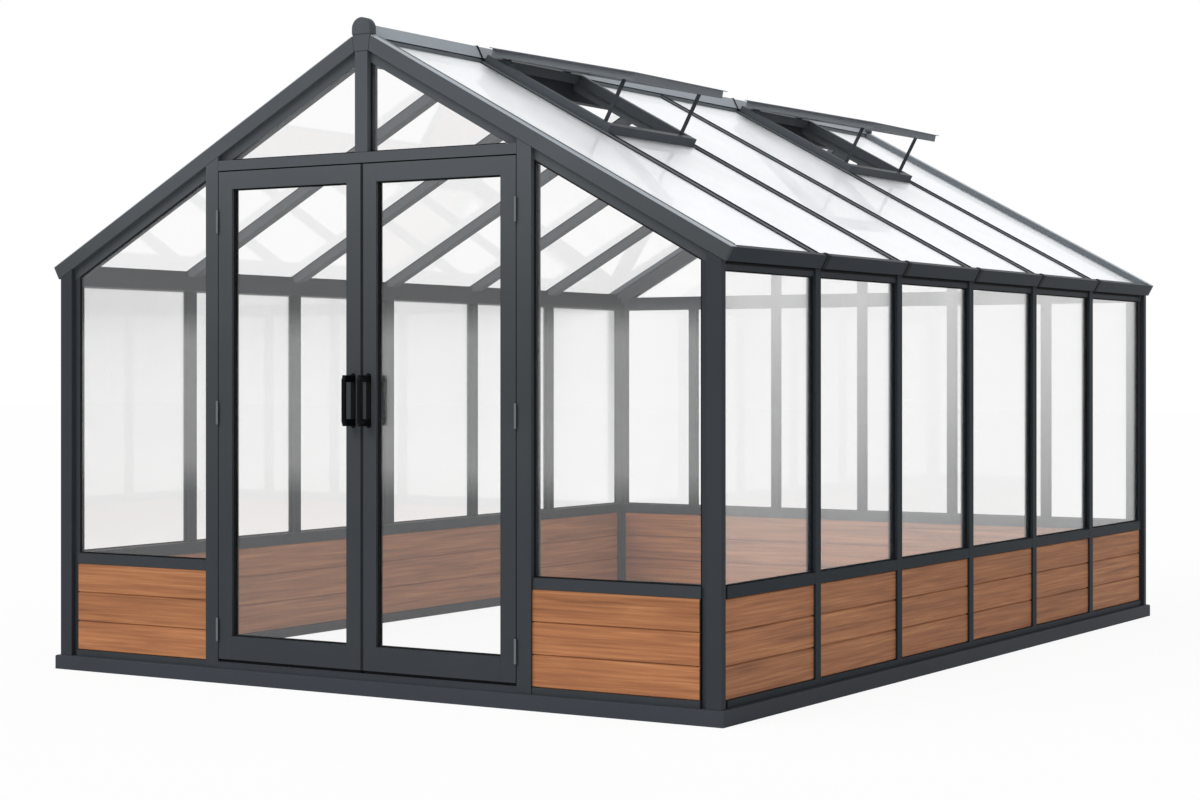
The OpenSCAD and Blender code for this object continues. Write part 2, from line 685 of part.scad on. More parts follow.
// places a part drawn on the closed vent of bay k in its open pose
module opened(k) translate([0, bay_mid(k), apex_z]) rotate([0, pitch, 0])
    translate([pivot_u, 0, pivot_w]) rotate([0, -vent_open, 0]) translate([-pivot_u, 0, -pivot_w])
    children();

module vent_sash(k) color(metal) opened(k) {
    turned() {
        box(sash_u, sash_end, sash_in, sash_half, sash_w, sash_top);
        box(sash_u, sash_end + lip_low, sash_in, sash_half + lip_side, sash_top, sash_top + lip_t);
        difference() {
            union() {
                rod_y(pivot_u, pivot_w, vent_hinge_y - barrel_half, vent_hinge_y + barrel_half,
                    barrel_r);
                box(pivot_u, sash_u, vent_hinge_y - barrel_half, vent_hinge_y + barrel_half,
                    sash_w, pivot_w + barrel_r);
            }
            rod_y(pivot_u, pivot_w, vent_hinge_y - barrel_half - 1, vent_hinge_y + barrel_half + 1,
                vent_pin_r + run_clear);
        }
        union() {
            rod_y(stay_pin[0], stay_pin[1], stay_half + stay_t + 2 * run_clear, sash_in, shoulder_r);
            rod_y(stay_pin[0], stay_pin[1], stay_half - head_t, sash_in, vent_pin_r);
            rod_y(stay_pin[0], stay_pin[1], stay_half - head_t, stay_half - 2 * run_clear, shoulder_r);
        }
    }
    y = sash_in - gap;
    for (u = [sash_u, sash_end - vent_rail]) box(u, u + vent_rail, -y, y, sash_w, sash_top);
    box(sash_u, sash_u + vent_rail, -y, y, sash_top, sash_top + lip_t);
    box(sash_end - vent_rail, sash_end + lip_low, -y, y, sash_top, sash_top + lip_t);
}

module vent_glass(k) color(pane) opened(k)
    box(sash_u + vent_rail, sash_end - vent_rail, -sash_in, sash_in,
        sash_top - pane_drop, sash_top - pane_drop + glass_t);

// flat stays stand square to the roof in the open pose, feet beside the curb's pegs
module vent_stays(k) color(metal) slope() translate([0, bay_mid(k), 0]) turned() difference() {
    y = stay_half;
    ends = [stay_foot_w, stay_foot_w + stay_l];
    union() {
        box(stay_rest_u - stay_r, stay_rest_u + stay_r, y, y + stay_t, ends[0], ends[1]);
        for (w = ends) rod_y(stay_rest_u, w, y, y + stay_t, stay_r);
    }
    for (w = ends) rod_y(stay_rest_u, w, y - 1, y + stay_t + 1, vent_pin_r + run_clear);
}

module vent_1_sash() vent_sash(VENTS[0]);
module vent_1_glass() vent_glass(VENTS[0]);
module vent_1_stays() vent_stays(VENTS[0]);
module vent_2_sash() vent_sash(VENTS[1]);
module vent_2_glass() vent_glass(VENTS[1]);
module vent_2_stays() vent_stays(VENTS[1]);

// door parts are drawn for the right leaf
function stile_profile() = [[0, 0], [stile_w, 0], [stile_w, pane_d],
    [stile_w - pane_slot, pane_d], [stile_w - pane_slot, pane_d + glass_t],
    [stile_w, pane_d + glass_t], [stile_w, leaf_t], [0, leaf_t]];

module leaf_frame() color(metal) front() {
    translate([meet, 0, 0]) upright(leaf_z, leaf_top, stile_profile());
    translate([leaf_out, 0, 0]) mirror([1, 0, 0]) upright(leaf_z, leaf_top, stile_profile());
    a = meet + stile_w + gap;
    b = leaf_out - stile_w - gap;
    box(a, b, 0, leaf_t, leaf_z, leaf_z + bottom_rail_h);
    box(a, b, 0, leaf_t, leaf_top - top_rail_h, leaf_top);
}

module leaf_glass() color(pane) front()
    box(meet + stile_w - pane_bite, leaf_out - stile_w + pane_bite, pane_d, pane_d + glass_t,
        leaf_z + bottom_rail_h, leaf_top - top_rail_h);

module leaf_seals() color(black) front() {
    x0 = meet + stile_w;
    x1 = leaf_out - stile_w;
    z0 = leaf_z + bottom_rail_h;
    z1 = leaf_top - top_rail_h;
    w = seal_w;
    for (d = [pane_d - w, pane_d + glass_t]) {
        box(x0, x0 + w, d, d + w, z0, z1);
        box(x1 - w, x1, d, d + w, z0, z1);
        box(x0 + w, x1 - w, d, d + w, z0, z0 + w);
        box(x0 + w, x1 - w, d, d + w, z1 - w, z1);
    }
}

// one pull handle drawn in front of the leaf, its face at the full reach
module pull(z) {
    bar_half_h = handle_h / 2 - grip_r;
    plate_half_h = handle_h / 2 - back_plate_inset;
    for (e = [-1, 1]) box(handle_x - post_half, handle_x + post_half, grip_t - handle_reach + gap / 2,
        -back_plate_t - gap / 2, z + e * (handle_h / 2 - post_inset) - post_rise,
        z + e * (handle_h / 2 - post_inset) + post_rise);
    union() {
        box(handle_x - grip_r, handle_x + grip_r, -handle_reach, grip_t - handle_reach,
            z - bar_half_h, z + bar_half_h);
        for (e = [-1, 1])
            rod_y(handle_x, z + e * bar_half_h, -handle_reach, grip_t - handle_reach, grip_r);
    }
    union() {
        box(handle_x - back_plate_half, handle_x + back_plate_half, -back_plate_t, 0, z - plate_half_h,
            z + plate_half_h);
        for (e = [-1, 1]) rod_y(handle_x, z + e * plate_half_h, -back_plate_t, 0, back_plate_half);
    }
}

module leaf_handles() color(black) front() {
    pull(handle_z);
    translate([0, leaf_t, 0]) mirror([0, 1, 0]) pull(handle_z);
}

// hinge knuckles: the frame leaf carries the outer two, the door leaf the middle one
module knuckle(z0, z1) translate([hinge_x, hinge_d, z0]) cylinder(r = knuckle_r, h = z1 - z0);
module hinge_bore(z)
    translate([hinge_x, hinge_d, z - hinge_h / 2 - 1]) cylinder(r = bore_r, h = hinge_h + 2);
// the tab that joins a plate to its knuckle
module tab(x0, z0, z1) box(x0, x0 + plate_t, hinge_d + bore_r + tab_wall, plate_lift, z0, z1);

module frame_leaf(z) difference() {
    x0 = hinge_x + plate_set - plate_t;
    union() {
        knuckle(z - hinge_h / 2, z - outer_start);
        knuckle(z + outer_start, z + hinge_h / 2);
        box(x0, x0 + plate_t, plate_lift, plate_d, z - hinge_h / 2, z + hinge_h / 2);
        tab(x0, z - hinge_h / 2, z - outer_start);
        tab(x0, z + outer_start, z + hinge_h / 2);
    }
    hinge_bore(z);
}

module door_leaf(z) difference() {
    x0 = hinge_x - plate_set;
    union() {
        knuckle(z - middle_half, z + middle_half);
        box(x0, x0 + plate_t, plate_lift, plate_d, z - hinge_h / 2, z + hinge_h / 2);
        tab(x0, z - middle_half, z + middle_half);
    }
    hinge_bore(z);
}

module door_hinge_frame_leaves() color(steel) front() pair() for (z = hinge_zs) frame_leaf(z);

module door_hinge_pins() color(steel) front() pair() for (z = hinge_zs)
    translate([hinge_x, hinge_d, 0]) union() {
        translate([0, 0, z - hinge_h / 2]) cylinder(r = door_pin_r, h = hinge_h);
        translate([0, 0, z + hinge_h / 2]) cylinder(r = door_pin_r + pin_head, h = pin_head);
    }

module leaf_hinges() color(steel) front() for (z = hinge_zs) door_leaf(z);

module right_door_frame() leaf_frame();
module right_door_glass() leaf_glass();
module right_door_seals() {
    leaf_seals();
    color(black) front() box(0, meet, pane_d, leaf_t - rebate, leaf_z, leaf_top);
}
module right_door_handles() leaf_handles();
module right_door_hinge_leaves() leaf_hinges();
module left_door_frame() mirror([1, 0, 0]) leaf_frame();
module left_door_glass() mirror([1, 0, 0]) leaf_glass();
module left_door_seals() mirror([1, 0, 0]) leaf_seals();
module left_door_handles() mirror([1, 0, 0]) leaf_handles();
module left_door_hinge_leaves() mirror([1, 0, 0]) leaf_hinges();

base_rails();
base_corner_joiners();
corner_posts();
front_jambs();
door_header();
door_threshold();
door_stops();
king_post();
front_sill_rails();
front_mid_rails();
front_boards();
front_glass();
gable_glass();
side_sill_rails();
side_mid_rails();
side_mullions();
side_mullion_caps();
side_boards();
side_glass();
back_sill_rails();
back_mid_rails();
back_mullions();
back_mullion_caps();
back_transom();
back_boards();
back_glass();
eave_beams();
eave_fascias();
eave_joint_covers();
gable_rafters();
barge_boards();
ridge_beam();
ridge_caps();
ridge_saddles();
finials();
roof_bars();
roof_bar_caps();
left_roof_glass();
right_roof_glass();
glazing_seals();
vent_curbs();
vent_hinge_pins();
door_hinge_frame_leaves();
door_hinge_pins();
left_door_frame();
left_door_glass();
left_door_seals();
left_door_handles();
left_door_hinge_leaves();
right_door_frame();
right_door_glass();
right_door_seals();
right_door_handles();
right_door_hinge_leaves();
vent_1_sash();
vent_1_glass();
vent_1_stays();
vent_2_sash();
vent_2_glass();
vent_2_stays();
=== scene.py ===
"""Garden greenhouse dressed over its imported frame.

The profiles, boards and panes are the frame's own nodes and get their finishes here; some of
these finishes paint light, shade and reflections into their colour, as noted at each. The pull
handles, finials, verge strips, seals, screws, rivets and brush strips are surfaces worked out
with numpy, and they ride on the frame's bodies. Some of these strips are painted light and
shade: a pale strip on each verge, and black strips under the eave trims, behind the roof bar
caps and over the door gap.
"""

import logging
import math
from dataclasses import dataclass
from enum import Enum
from functools import cache, cached_property
from itertools import product
from typing import Any, Optional, Sequence

import bmesh
import bpy
import numpy as np
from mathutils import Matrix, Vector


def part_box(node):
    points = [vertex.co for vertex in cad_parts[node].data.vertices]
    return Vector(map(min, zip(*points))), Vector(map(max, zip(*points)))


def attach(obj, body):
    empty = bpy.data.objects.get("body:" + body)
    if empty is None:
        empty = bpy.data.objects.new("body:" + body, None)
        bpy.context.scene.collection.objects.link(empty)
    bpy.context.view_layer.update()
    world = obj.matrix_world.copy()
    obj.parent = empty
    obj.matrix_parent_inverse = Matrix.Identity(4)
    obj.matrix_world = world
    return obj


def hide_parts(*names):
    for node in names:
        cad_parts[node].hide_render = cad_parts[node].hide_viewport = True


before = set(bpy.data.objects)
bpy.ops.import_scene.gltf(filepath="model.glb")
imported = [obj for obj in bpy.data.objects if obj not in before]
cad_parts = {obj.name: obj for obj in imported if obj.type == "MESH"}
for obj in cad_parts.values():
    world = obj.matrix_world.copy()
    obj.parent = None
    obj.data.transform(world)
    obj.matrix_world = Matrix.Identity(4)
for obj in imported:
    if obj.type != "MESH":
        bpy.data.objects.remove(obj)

LOG = logging.getLogger("greenhouse")

# the frame's own measures in metres: where the glazed side walls start and end along Y, a
# mullion's half width, the bay pitch, the bars between the bays, the roof's slope and apex
WALL_ENDS = (-2.0485, 2.0955)
BAR_HALF = 0.021
BAY = (WALL_ENDS[1] - WALL_ENDS[0] + 2 * BAR_HALF) / 6
BARS = tuple(WALL_ENDS[0] - BAR_HALF + BAY * k for k in range(1, 6))
SLOPE = math.radians(28.5)
APEX = 2.430
# height that colours and films by height are measured against
TALLEST = 2.5
# millimetres in a metre: a pattern's scale is this over the size of its cell
MM = 1000.0
# edges sharper than this stay crisp
CREASE = math.radians(35.0)
SIGNS = (-1.0, 1.0)
ALONG_X = np.array([1.0, 0.0, 0.0])
ALONG_Y = np.array([0.0, 1.0, 0.0])

Array = np.ndarray
Shell = tuple[Array, list[list[int]]]
Span = tuple[float, float]
Strip = tuple[float, float, float, float]
Stops = Sequence[tuple[float, float | str]]
Values = dict[int | str, Any]
Material = bpy.types.Material
NodeTree = bpy.types.NodeTree
Socket = bpy.types.NodeSocket
Piece = bpy.types.Object


# Colours and nodes


def linear(code: str) -> tuple[float, float, float, float]:
    """Turn an sRGB hex code into linear colour.

    Args:
        code: a hash and six hex digits.

    Returns:
        Red, green, blue and an alpha of one.
    """
    digits = code.lstrip("#")
    srgb = np.array([int(digits[i : i + 2], 16) for i in (0, 2, 4)]) / 255.0
    high = ((srgb + 0.055) / 1.055) ** 2.4
    red, green, blue = np.where(srgb <= 0.04045, srgb / 12.92, high)
    return float(red), float(green), float(blue), 1.0


class Sheet:
    """A node tree that is drawn node by node."""

    def __init__(self, tree: NodeTree) -> None:
        """Start from an empty tree."""
        tree.nodes.clear()
        self.tree = tree

    @cached_property
    def place(self) -> Socket:
        """Object coordinates."""
        return self.add("TexCoord", out="Object")

    def add(
        self,
        kind: str,
        values: Optional[Values] = None,
        links: Optional[Values] = None,
        out: int | str = 0,
        **settings: Any,
    ) -> Optional[Socket]:
        """Add a node with its settings, socket values and incoming links.

        Args:
            kind: the node's type name after its ShaderNode.
            values: default values by input socket.
            links: source sockets by input socket.
            out: the output that is wanted.
            **settings: attributes of the node itself.

        Returns:
            The wanted output's socket, or None for a node that has no outputs.
        """
        node = self.tree.nodes.new("ShaderNode" + kind)
        for key, value in settings.items():
            setattr(node, key, value)
        for socket, value in (values or {}).items():
            node.inputs[socket].default_value = value
        for socket, source in (links or {}).items():
            self.tree.links.new(source, node.inputs[socket])
        return node.outputs[out] if node.outputs else None

    def ramp(self, source: Socket, stops: Stops) -> Socket:
        """Turn a value into a colour or a number by straight steps between stops.

        Args:
            source: the value's socket.
            stops: positions from zero to one, each with a hex colour or a number.

        Returns:
            The ramp's socket.
        """
        result = self.add("ValToRGB", links={"Fac": source})
        bands = result.node.color_ramp.elements
        while len(bands) < len(stops):
            bands.new(0.5)
        for band, (spot, level) in zip(bands, stops):
            band.position = spot
            band.color = linear(level) if isinstance(level, str) else (level, level, level, 1.0)
        return result

    def by_height(self, stops: Stops) -> Socket:
        """Turn height into a colour or a number.

        Args:
            stops: heights in metres, each with a hex colour or a number.

        Returns:
            The socket of the colour or the number.
        """
        height = self.add("SeparateXYZ", links={"Vector": self.place}, out="Z")
        part = self.add("Math", {1: TALLEST}, {0: height}, operation="DIVIDE")
        return self.ramp(part, [(z / TALLEST, level) for z, level in stops])

    def about_one(self, noise: Socket, swing: float) -> Socket:
        """Turn a noise, which lies mostly between 0.3 and 0.7, into a factor about one."""
        values = {"From Min": 0.3, "From Max": 0.7, "To Min": 1.0 - swing, "To Max": 1.0 + swing}
        return self.add("MapRange", values, {"Value": noise})

    def seen_rays(self) -> Socket:
        """Tell rays that show the surroundings from rays that only carry light.

        Returns:
            A socket that is one for camera, glossy and transmission rays.
        """
        rays = self.add("LightPath").node.outputs
        pair = {0: rays["Is Camera Ray"], 1: rays["Is Glossy Ray"]}
        last = {0: self.add("Math", links=pair, operation="MAXIMUM"), 1: rays["Is Transmission Ray"]}
        return self.add("Math", links=last, operation="MAXIMUM")


# Finishes


@dataclass(frozen=True)
class Finish:
    """A finish drawn by nodes over object coordinates, named for its real material."""

    name: str

    def shader(self, sheet: Sheet) -> Socket:
        """Return the shader's socket; each kind of finish draws its own."""
        raise NotImplementedError(self.name)

    def material(self) -> Material:
        """Return the finish as a node material."""
        material = bpy.data.materials.new(self.name)
        material.use_nodes = True
        sheet = Sheet(material.node_tree)
        sheet.add("OutputMaterial", links={"Surface": self.shader(sheet)})
        return material


@dataclass(frozen=True)
class PowderCoat(Finish):
    """Powder-coated aluminium: a baked polyester film with a fine orange peel.

    It gives the eye an even satin grey with soft, slightly broken highlights. Its tone
    drifts a little, and its colour by height may grow paler upward: painted light, for the light
    that falls from above.
    """

    # colour by height in metres; paler higher up is painted light from above
    colours: Stops
    shine: float = 0.015
    # roughness where the tone is darkest and where it is palest
    roughness: Span = (0.26, 0.36)
    # peel cells are about 1 mm across on the real film and drawn at 5 mm to show
    peel_mm: float = 5.0
    peel_deep: float = 0.0002
    # tone drifts by a few hundredths over about half a metre
    drift_mm: float = 450.0
    drift: float = 0.05

    def shader(self, sheet: Sheet) -> Socket:
        """Colour the film by height, which paints the light from above, let tone and gloss drift and
        raise the peel.

        Args:
            sheet: the material's sheet.

        Returns:
            The shader's socket.
        """
        slow = {"Scale": MM / self.drift_mm, "Detail": 4.0, "Roughness": 0.6}
        drift = sheet.add("TexNoise", slow, {"Vector": sheet.place})
        plain = sheet.by_height(self.colours)
        tone = sheet.about_one(drift, self.drift)
        colour = sheet.add("HueSaturation", links={"Color": plain, "Value": tone})
        fine = {"Scale": MM / self.peel_mm, "Detail": 2.0}
        peel = sheet.add("TexNoise", fine, {"Vector": sheet.place})
        bump = sheet.add("Bump", {"Strength": 0.25, "Distance": self.peel_deep}, {"Height": peel})
        low, high = self.roughness
        rough = sheet.add("MapRange", {"To Min": low, "To Max": high}, {"Value": drift})
        values = {"IOR": 1.5, "Specular IOR Level": self.shine}
        links = {"Base Color": colour, "Roughness": rough, "Normal": bump}
        return sheet.add("BsdfPrincipled", values, links)


class Grain(Enum):
    """Axis that a board's grain runs along."""

    ALONG_X = 0
    ALONG_Y = 1


@dataclass(frozen=True)
class BoardGrid:
    """Where one layer's boards lie: length and start along the grain, height and foot."""

    bay: float
    start: float
    row: float = 0.114
    foot: float = 0.080


# the lining boards run through from wall to wall
LINING = BoardGrid(9.0, -4.5, 0.12433, 0.042)


@dataclass(frozen=True)
class TimberBoard(Finish):
    """Foil-wrapped timber-look board, printed and lightly brushed along its length.

    It gives the eye warm brown boards, each of its own tone, with long dark and light
    streaks and a low sheen. The lining boards are paler.
    """

    grain: Grain
    outer: BoardGrid
    # axis across the wall: outer boards lie beyond a distance from its zero
    across: int
    lining_from: float
    zero: float = 0.0
    lining_tone: float = 1.22
    tones: Span = (0.95, 1.07)
    browns: Stops = ((0.32, "#7d5238"), (0.44, "#976547"), (0.54, "#aa7451"), (0.68, "#bf8b64"))
    # width and length of a streak, of the broad figure and of a pore
    streak_mm: Span = (9.0, 420.0)
    figure_mm: Span = (38.0, 900.0)
    pore_mm: Span = (1.6, 60.0)
    pore_deep: float = 0.0004
    streak_share: float = 0.55
    # a cell that is wider than the house, so that it splits no board
    whole: float = 50.0
    # the pattern of each board is moved by up to this, in metres
    moved: float = 3.0

    def cell(self, sheet: Sheet, grid: BoardGrid) -> Socket:
        """Give every point of one board the same place.

        Args:
            sheet: the material's sheet.
            grid: where the layer's boards lie.

        Returns:
            The snapped coordinates.
        """
        step = [self.whole, self.whole, grid.row]
        shift = [self.whole / 2, self.whole / 2, -grid.foot]
        step[self.grain.value] = grid.bay
        shift[self.grain.value] = -grid.start
        shifted = sheet.add("VectorMath", {1: tuple(shift)}, {0: sheet.place}, operation="ADD")
        return sheet.add("VectorMath", {1: tuple(step)}, {0: shifted}, operation="SNAP")

    def own_cell(self, sheet: Sheet) -> tuple[Socket, Socket]:
        """Pick the outer board's place or the lining board's place by depth in the wall.

        Args:
            sheet: the material's sheet.

        Returns:
            Coordinates that are equal over one board, and one for a lining board.
        """
        depth = sheet.add("SeparateXYZ", links={"Vector": sheet.place}, out=self.across)
        far = sheet.add("Math", {1: self.zero}, {0: depth}, operation="SUBTRACT")
        size = sheet.add("Math", links={0: far}, operation="ABSOLUTE")
        lining = sheet.add("Math", {1: self.lining_from}, {0: size}, operation="LESS_THAN")
        cells = {4: self.cell(sheet, self.outer), 5: self.cell(sheet, LINING)}
        return sheet.add("Mix", links={0: lining, **cells}, out=1, data_type="VECTOR"), lining

    def streaks(self, sheet: Sheet, place: Socket, cell_mm: Span, look: Values) -> Socket:
        """Draw a noise whose cells are long along the grain.

        Args:
            sheet: the material's sheet.
            place: the board's own coordinates.
            cell_mm: width and length of a cell in millimetres.
            look: values of the noise.

        Returns:
            The noise's socket.
        """
        wide, long = cell_mm
        scale = [MM / wide] * 3
        scale[self.grain.value] = MM / long
        stretched = sheet.add("Mapping", {"Scale": tuple(scale)}, {"Vector": place})
        return sheet.add("TexNoise", {"Scale": 1.0, **look}, {"Vector": stretched})

    def shader(self, sheet: Sheet) -> Socket:
        """Streak each board in its own tone and press pores into it.

        Args:
            sheet: the material's sheet.

        Returns:
            The shader's socket.
        """
        cell, lining = self.own_cell(sheet)
        lot = sheet.add("TexWhiteNoise", links={"Vector": cell}, noise_dimensions="3D")
        links = {0: lot.node.outputs["Color"], 2: sheet.place}
        own = sheet.add("VectorMath", {1: (self.moved,) * 3}, links, operation="MULTIPLY_ADD")
        fine = {"Detail": 5.0, "Roughness": 0.62, "Distortion": 0.5}
        broad = {"Detail": 3.0, "Roughness": 0.55, "Distortion": 1.1}
        streak = self.streaks(sheet, own, self.streak_mm, fine)
        figure = self.streaks(sheet, own, self.figure_mm, broad)
        pore = self.streaks(sheet, own, self.pore_mm, {"Detail": 2.0})
        share = {1: 1.0 - self.streak_share}
        rest = sheet.add("Math", share, {0: figure}, operation="MULTIPLY")
        links = {0: streak, 2: rest}
        blend = sheet.add("Math", {1: self.streak_share}, links, operation="MULTIPLY_ADD")
        low, high = self.tones
        tone = sheet.add("MapRange", {"To Min": low, "To Max": high}, {"Value": lot})
        paler = {"To Min": 1.0, "To Max": self.lining_tone}
        lift = sheet.add("MapRange", paler, {"Value": lining})
        value = sheet.add("Math", links={0: tone, 1: lift}, operation="MULTIPLY")
        wood = sheet.ramp(blend, self.browns)
        links = {"Color": wood, "Value": value}
        toned = sheet.add("HueSaturation", {"Saturation": 1.06}, links)
        bump = sheet.add("Bump", {"Strength": 0.35, "Distance": self.pore_deep}, {"Height": pore})
        values = {"IOR": 1.5, "Specular IOR Level": 0.3, "Roughness": 0.58}
        return sheet.add("BsdfPrincipled", values, {"Base Color": toned, "Normal": bump})


@dataclass(frozen=True)
class FloatGlass(Finish):
    """Clear float glass: two mirror-flat faces, a neutral body and a painted reflection haze.

    It gives the eye a see-through pane that turns into a mirror of the pale surroundings at
    a glancing angle. The painted reflection haze is their blurred reflection, laid on by a share
    that changes with height and in patches, and it makes what stands behind the pane paler.
    """

    # painted reflection: share of the blurred reflection haze on each face, set by height in metres
    film: Stops
    painted_haze_colour: str = "#fdfdfd"
    tint: str = "#fefefe"
    blur: float = 0.25
    # mirror share of one face from head on (0) to edge on (1), for an IOR of 1.5
    glance: Stops = ((0.0, 0.04), (0.5, 0.07), (0.7, 0.20), (0.85, 0.47), (1.0, 1.0))
    # how much of the painted reflection haze shows from head on (0) to edge on (1)
    painted_haze_glance: Stops = ((0.0, 1.0), (1.0, 1.0))
    # patches of the painted reflection haze are about 600 mm across and change its share by a sixth
    patch_mm: float = 600.0
    patch: float = 0.16

    def painted_haze_share(self, sheet: Sheet, facing: Socket) -> Socket:
        """Return the painted reflection haze's share by height and by angle, broken up by slow
        patches.

        Args:
            sheet: the material's sheet.
            facing: zero head on and one edge on.

        Returns:
            The share's socket.
        """
        slow = {"Scale": MM / self.patch_mm, "Detail": 2.0, "Roughness": 0.5}
        cloud = sheet.add("TexNoise", slow, {"Vector": sheet.place})
        swing = sheet.about_one(cloud, self.patch)
        level = sheet.by_height(self.film)
        patched = sheet.add("Math", links={0: level, 1: swing}, operation="MULTIPLY")
        shown = sheet.ramp(facing, self.painted_haze_glance)
        return sheet.add("Math", links={0: patched, 1: shown}, operation="MULTIPLY")

    def shader(self, sheet: Sheet) -> Socket:
        """Mix the clear body, the faces' mirror and the painted reflection haze.

        Args:
            sheet: the material's sheet.

        Returns:
            The shader's socket.
        """
        facing = sheet.add("LayerWeight", {"Blend": 0.5}, out="Facing")
        clear = sheet.add("BsdfTransparent", {"Color": linear(self.tint)})
        mirror = sheet.add("BsdfAnisotropic", {"Color": linear("#ffffff"), "Roughness": 0.02})
        pane = sheet.add("MixShader", links={0: sheet.ramp(facing, self.glance), 1: clear, 2: mirror})
        values = {"Color": linear(self.painted_haze_colour), "Roughness": self.blur}
        film = sheet.add("BsdfAnisotropic", values)
        share = self.painted_haze_share(sheet, facing)
        return sheet.add("MixShader", links={0: share, 1: pane, 2: film})


@dataclass(frozen=True)
class Rubber(Finish):
    """Extruded EPDM gasket: matte, near black, with a faint grey bloom."""

    colour: str = "#0d0e10"
    bloom: str = "#15161a"
    # bloom patches are about 60 mm long
    bloom_mm: float = 60.0

    def shader(self, sheet: Sheet) -> Socket:
        """Draw a matte black that turns grey in patches.

        Args:
            sheet: the material's sheet.

        Returns:
            The shader's socket.
        """
        cloud = {"Scale": MM / self.bloom_mm, "Detail": 3.0}
        patch = sheet.add("TexNoise", cloud, {"Vector": sheet.place})
        colour = sheet.ramp(patch, ((0.4, self.colour), (0.8, self.bloom)))
        values = {"IOR": 1.52, "Specular IOR Level": 0.2, "Roughness": 0.8}
        return sheet.add("BsdfPrincipled", values, {"Base Color": colour})


@dataclass(frozen=True)
class BrushedSteel(Finish):
    """Satin stainless steel, brushed round the knuckles: bright, with fine lines."""

    colour: str = "#6d7276"
    # brush lines are about 0.3 mm apart and drawn at 1.2 mm to show
    line_mm: float = 1.2
    line_long_mm: float = 50.0

    def shader(self, sheet: Sheet) -> Socket:
        """Draw a metal whose gloss changes from line to line.

        Args:
            sheet: the material's sheet.

        Returns:
            The shader's socket.
        """
        scale = (MM / self.line_long_mm, MM / self.line_long_mm, MM / self.line_mm)
        lines = sheet.add("Mapping", {"Scale": scale}, {"Vector": sheet.place})
        brush = sheet.add("TexNoise", {"Scale": 1.0, "Detail": 3.0}, {"Vector": lines})
        rough = sheet.add("MapRange", {"To Min": 0.26, "To Max": 0.42}, {"Value": brush})
        values = {"Base Color": linear(self.colour), "Metallic": 1.0}
        return sheet.add("BsdfPrincipled", values, {"Roughness": rough})


@dataclass(frozen=True)
class StudioFloor(Finish):
    """Matte studio floor: near white with a faint mottle, shown white with a soft shadow."""

    colours: Stops = ((0.3, "#f1f1f1"), (0.7, "#f5f5f5"))
    mottle_mm: float = 2000.0
    # share of plain white for rays that show the surroundings
    white: float = 0.92

    def shader(self, sheet: Sheet) -> Socket:
        """Draw a matte paint under plain white for the rays that show it.

        Args:
            sheet: the material's sheet.

        Returns:
            The shader's socket.
        """
        mottle = {"Scale": MM / self.mottle_mm, "Detail": 2.0}
        patch = sheet.add("TexNoise", mottle, {"Vector": sheet.place})
        matte = sheet.add("BsdfDiffuse", links={"Color": sheet.ramp(patch, self.colours)})
        white = sheet.add("Emission", {"Color": linear("#ffffff")})
        share = sheet.add("Math", {1: self.white}, {0: sheet.seen_rays()}, operation="MULTIPLY")
        return sheet.add("MixShader", links={0: share, 1: matte, 2: white})


# painted light: the gable's profiles and the doors are painted paler towards the eaves, for the light
# that falls from above
LOW_TONES = ((0.0, "#3c4044"), (0.6, "#3e4246"), (1.1, "#424548"))
PAINTED_LIGHT_UPWARD = LOW_TONES + ((1.6, "#4a4e51"), (1.95, "#54585c"), (TALLEST, "#54585c"))


def coat(part: str, low: str, high: str, shine: float = 0.015) -> PowderCoat:
    """Return one part's coat, from its colour on the ground to that at the top."""
    return PowderCoat(f"Powder-coated aluminium {part}", ((0.0, low), (TALLEST, high)), shine)


